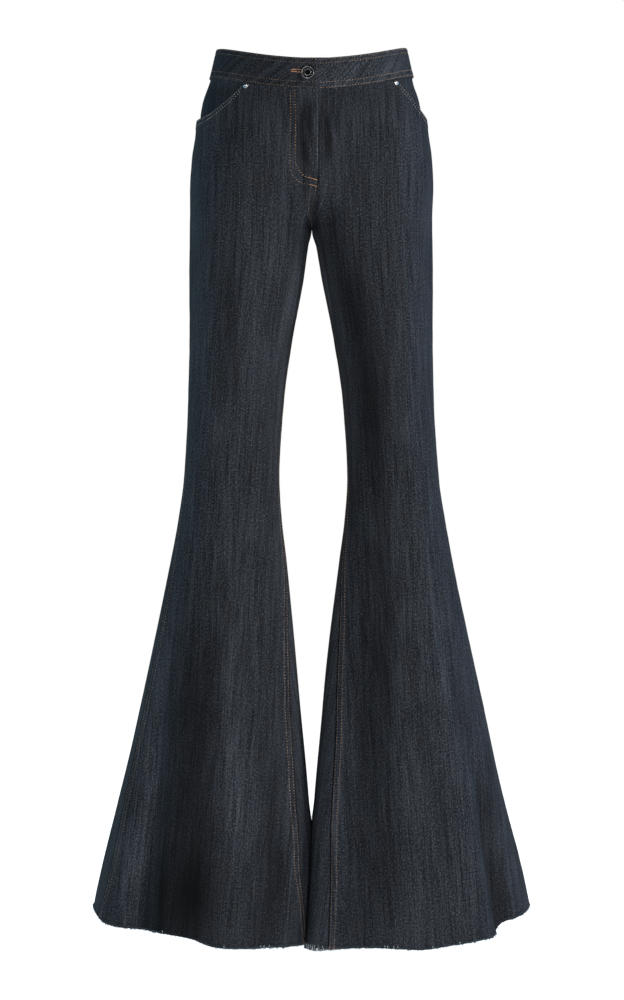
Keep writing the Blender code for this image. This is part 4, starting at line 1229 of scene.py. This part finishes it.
rivetProfile = (
    (0, 0), (0.9, 0), (0.97, 0.15), (1, 0.42), (0.98, 0.68), (0.92, 0.92), (0.84, 1.08), (0.72, 1.14),
    (0.58, 1.13), (0.5, 1.2), (0.45, 1.45), (0.41, 1.75), (0.36, 1.98), (0.28, 2.15), (0.16, 2.26), (0, 2.3),
)


def around(radius, height, count):
    turns = (2 * math.pi * k / count for k in range(count))
    return [(radius * math.cos(t), radius * math.sin(t), height) for t in turns]


def lathe(shop, profile, radius, segments, centre=(0, 0, 0), recess=()):
    loops = []
    for share, height in profile:
        places = around(radius * share, height, segments if share else 1)
        loops.append([shop.verts.new(np.add(place, centre)) for place in places])
    for row, (low, high) in enumerate(zip(loops, loops[1:])):
        for k in range(segments):
            n = (k + 1) % segments
            corners = (low[k % len(low)], low[n % len(low)], high[n % len(high)], high[k % len(high)])
            face = shop.faces.new(list(dict.fromkeys(corners)))
            face.material_index = int(row in recess)


def turnedPiece(name, profile, radius, segments, seat, outward, materials, beads=(), recess=()):
    shop = bmesh.new()
    lathe(shop, profile, radius, segments, recess=recess)
    for centre in beads:
        lathe(shop, beadProfile, metal["beadRadius"], metal["beadSegments"], centre)
    bmesh.ops.recalc_face_normals(shop, faces=shop.faces)
    z = Vector(outward).normalized()
    x = Vector((0, 0, 1)).cross(z).normalized()
    turn = Matrix((x, z.cross(x), z)).transposed().to_4x4()
    shop.transform(Matrix.Scale(mm, 4) @ Matrix.Translation(Vector(seat)) @ turn)
    data = bpy.data.meshes.new(name)
    shop.to_mesh(data)
    shop.free()
    for material in materials:
        data.materials.append(material)
    data.shade_smooth()
    return linked(name, data)


def seated(side, angle, height, off):  # a place on the cloth, and the way it faces there
    outward = facingOut(side, angle, height)
    return surface(side, angle, height) + outward * off, outward


angle, along = alongRing("right", 180.0, 0.0)
angle = np.interp(metal["buttonFromEdge"], along, angle)
button = turnedPiece(
    "shank_button", buttonProfile, metal["buttonRadius"], metal["buttonSegments"],
    *seated("right", angle, 0.0, band["proud"] + metal["buttonClear"]), (gunMetal, hollowShadeMetal),
    around(metal["beadRing"] * metal["buttonRadius"], metal["beadHeight"], metal["beads"]), buttonRecess,
)
rivetHeight = topRow - metal["rivetRadius"] - jeans["seamGap"]
rivets = {
    side: turnedPiece(
        "pocket_rivet_" + side + "_metal", rivetProfile, metal["rivetRadius"], metal["rivetSegments"],
        *seated(side, pockets[side]["angle"] + metal["rivetTurn"], rivetHeight, metal["rivetClear"]),
        (nickel,),
    )
    for side in sides
}
print("metal made")

# What each piece stands for.
slots = {
    "denim": [*panels.values(), bandPiece, *facings.values()], "thread": sewn,
    "yarn": [fray, edgeYarn, looseYarn, slitShadow], "dark_metal": [button],
    "bright_metal": rivets.values(),
}
for name, pieces in slots.items():
    for piece in pieces:
        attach(piece, "root")
for key, piece in panels.items():
    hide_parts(key)
for side in sides:
    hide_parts("pocket_facing_" + side)
    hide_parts("pocket_rivet_" + side)
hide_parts("waistband")
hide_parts("waist_button")


def spread(cloth):  # width, length and area of a panel laid flat, in metres
    across = np.linalg.norm(np.diff(cloth, axis=1), axis=2).sum(axis=1)
    down = lengthAlong(cloth[:, cloth.shape[1] // 2])
    area = ((across[1:] + across[:-1]) / 2 * np.diff(down)).sum()
    return float(across.max()) * mm, float(down[-1]) * mm, float(area) * mm * mm


for key, piece in panels.items():
    width, length, area = spread(grids[key]["outer"])
    print(key, "cut", round(width, 4), round(length, 4), round(area, 4))

studio = {
    "floor": -1.19, "floorReach": 6.0, "world": 0.05, "away": 3.6, "aside": 0.0009, "eye": -0.5535,
    "sees": 1.27, "film": 36.0,
}
lamps = {  # place, aim, size, power, colour
    "key": ((3.4, -2.3, 0.8), (0, 0, -0.6), 1.1, 138.0, (1.0, 0.985, 0.965)),
    "front": ((-0.4, -4.4, 0.3), (0, 0, -0.6), 1.8, 68.0, (1.0, 1.0, 1.0)),
    "rimLeft": ((-2.9, 1.0, 0), (-0.1, 0, -0.3), 1.0, 36.0, (0.20, 0.72, 1.0)),
    "rimRight": ((2.8, 0.9, 0), (0.1, 0, -0.6), 1.0, 34.0, (0.24, 0.58, 1.0)),
}
data = bpy.data.meshes.new("floor")
ends = (-studio["floorReach"], studio["floorReach"])
data.from_pydata([(x, y, 0) for y in ends for x in ends], [], [(0, 1, 3, 2)])
floor = linked("floor", data)
floor.location = (0, 0, studio["floor"])
white, shop = newMaterial("white_floor")
lit = {"Emission Color": (1.0, 1.0, 1.0), "Emission Strength": 1.0}
finishMaterial(shop, (0.9, 0.9, 0.9), 0.9, lit)
data.materials.append(white)

world = bpy.data.worlds.new("studio")
bpy.context.scene.world = world
world.use_nodes = True
shop = NodeShop(world.node_tree)
strength = shop.add("ShaderNodeLightPath") * (1.0 - studio["world"]) + studio["world"]
glow = shop.add("ShaderNodeBackground", {}, ((1.0, 1.0, 1.0), strength))
shop.add("ShaderNodeOutputWorld", {}, (glow,))

for name, (place, aim, size, power, colour) in lamps.items():
    data = bpy.data.lights.new(name, "AREA")
    data.shape, data.size, data.energy, data.color = "DISK", size, power, colour
    lamp = linked(name, data)
    lamp.location = place
    lamp.rotation_euler = (Vector(aim) - Vector(place)).to_track_quat("-Z", "Y").to_euler()

lens = bpy.data.cameras.new("camera")
lens.sensor_fit = "VERTICAL"
lens.sensor_width = lens.sensor_height = studio["film"]
lens.lens = studio["film"] * studio["away"] / studio["sees"]
camera = linked("camera", lens)
camera.location = (studio["aside"], -studio["away"], studio["eye"])
camera.rotation_euler = (math.radians(90), 0, 0)
bpy.context.scene.camera = camera
bpy.context.scene.view_settings.view_transform = "Standard"
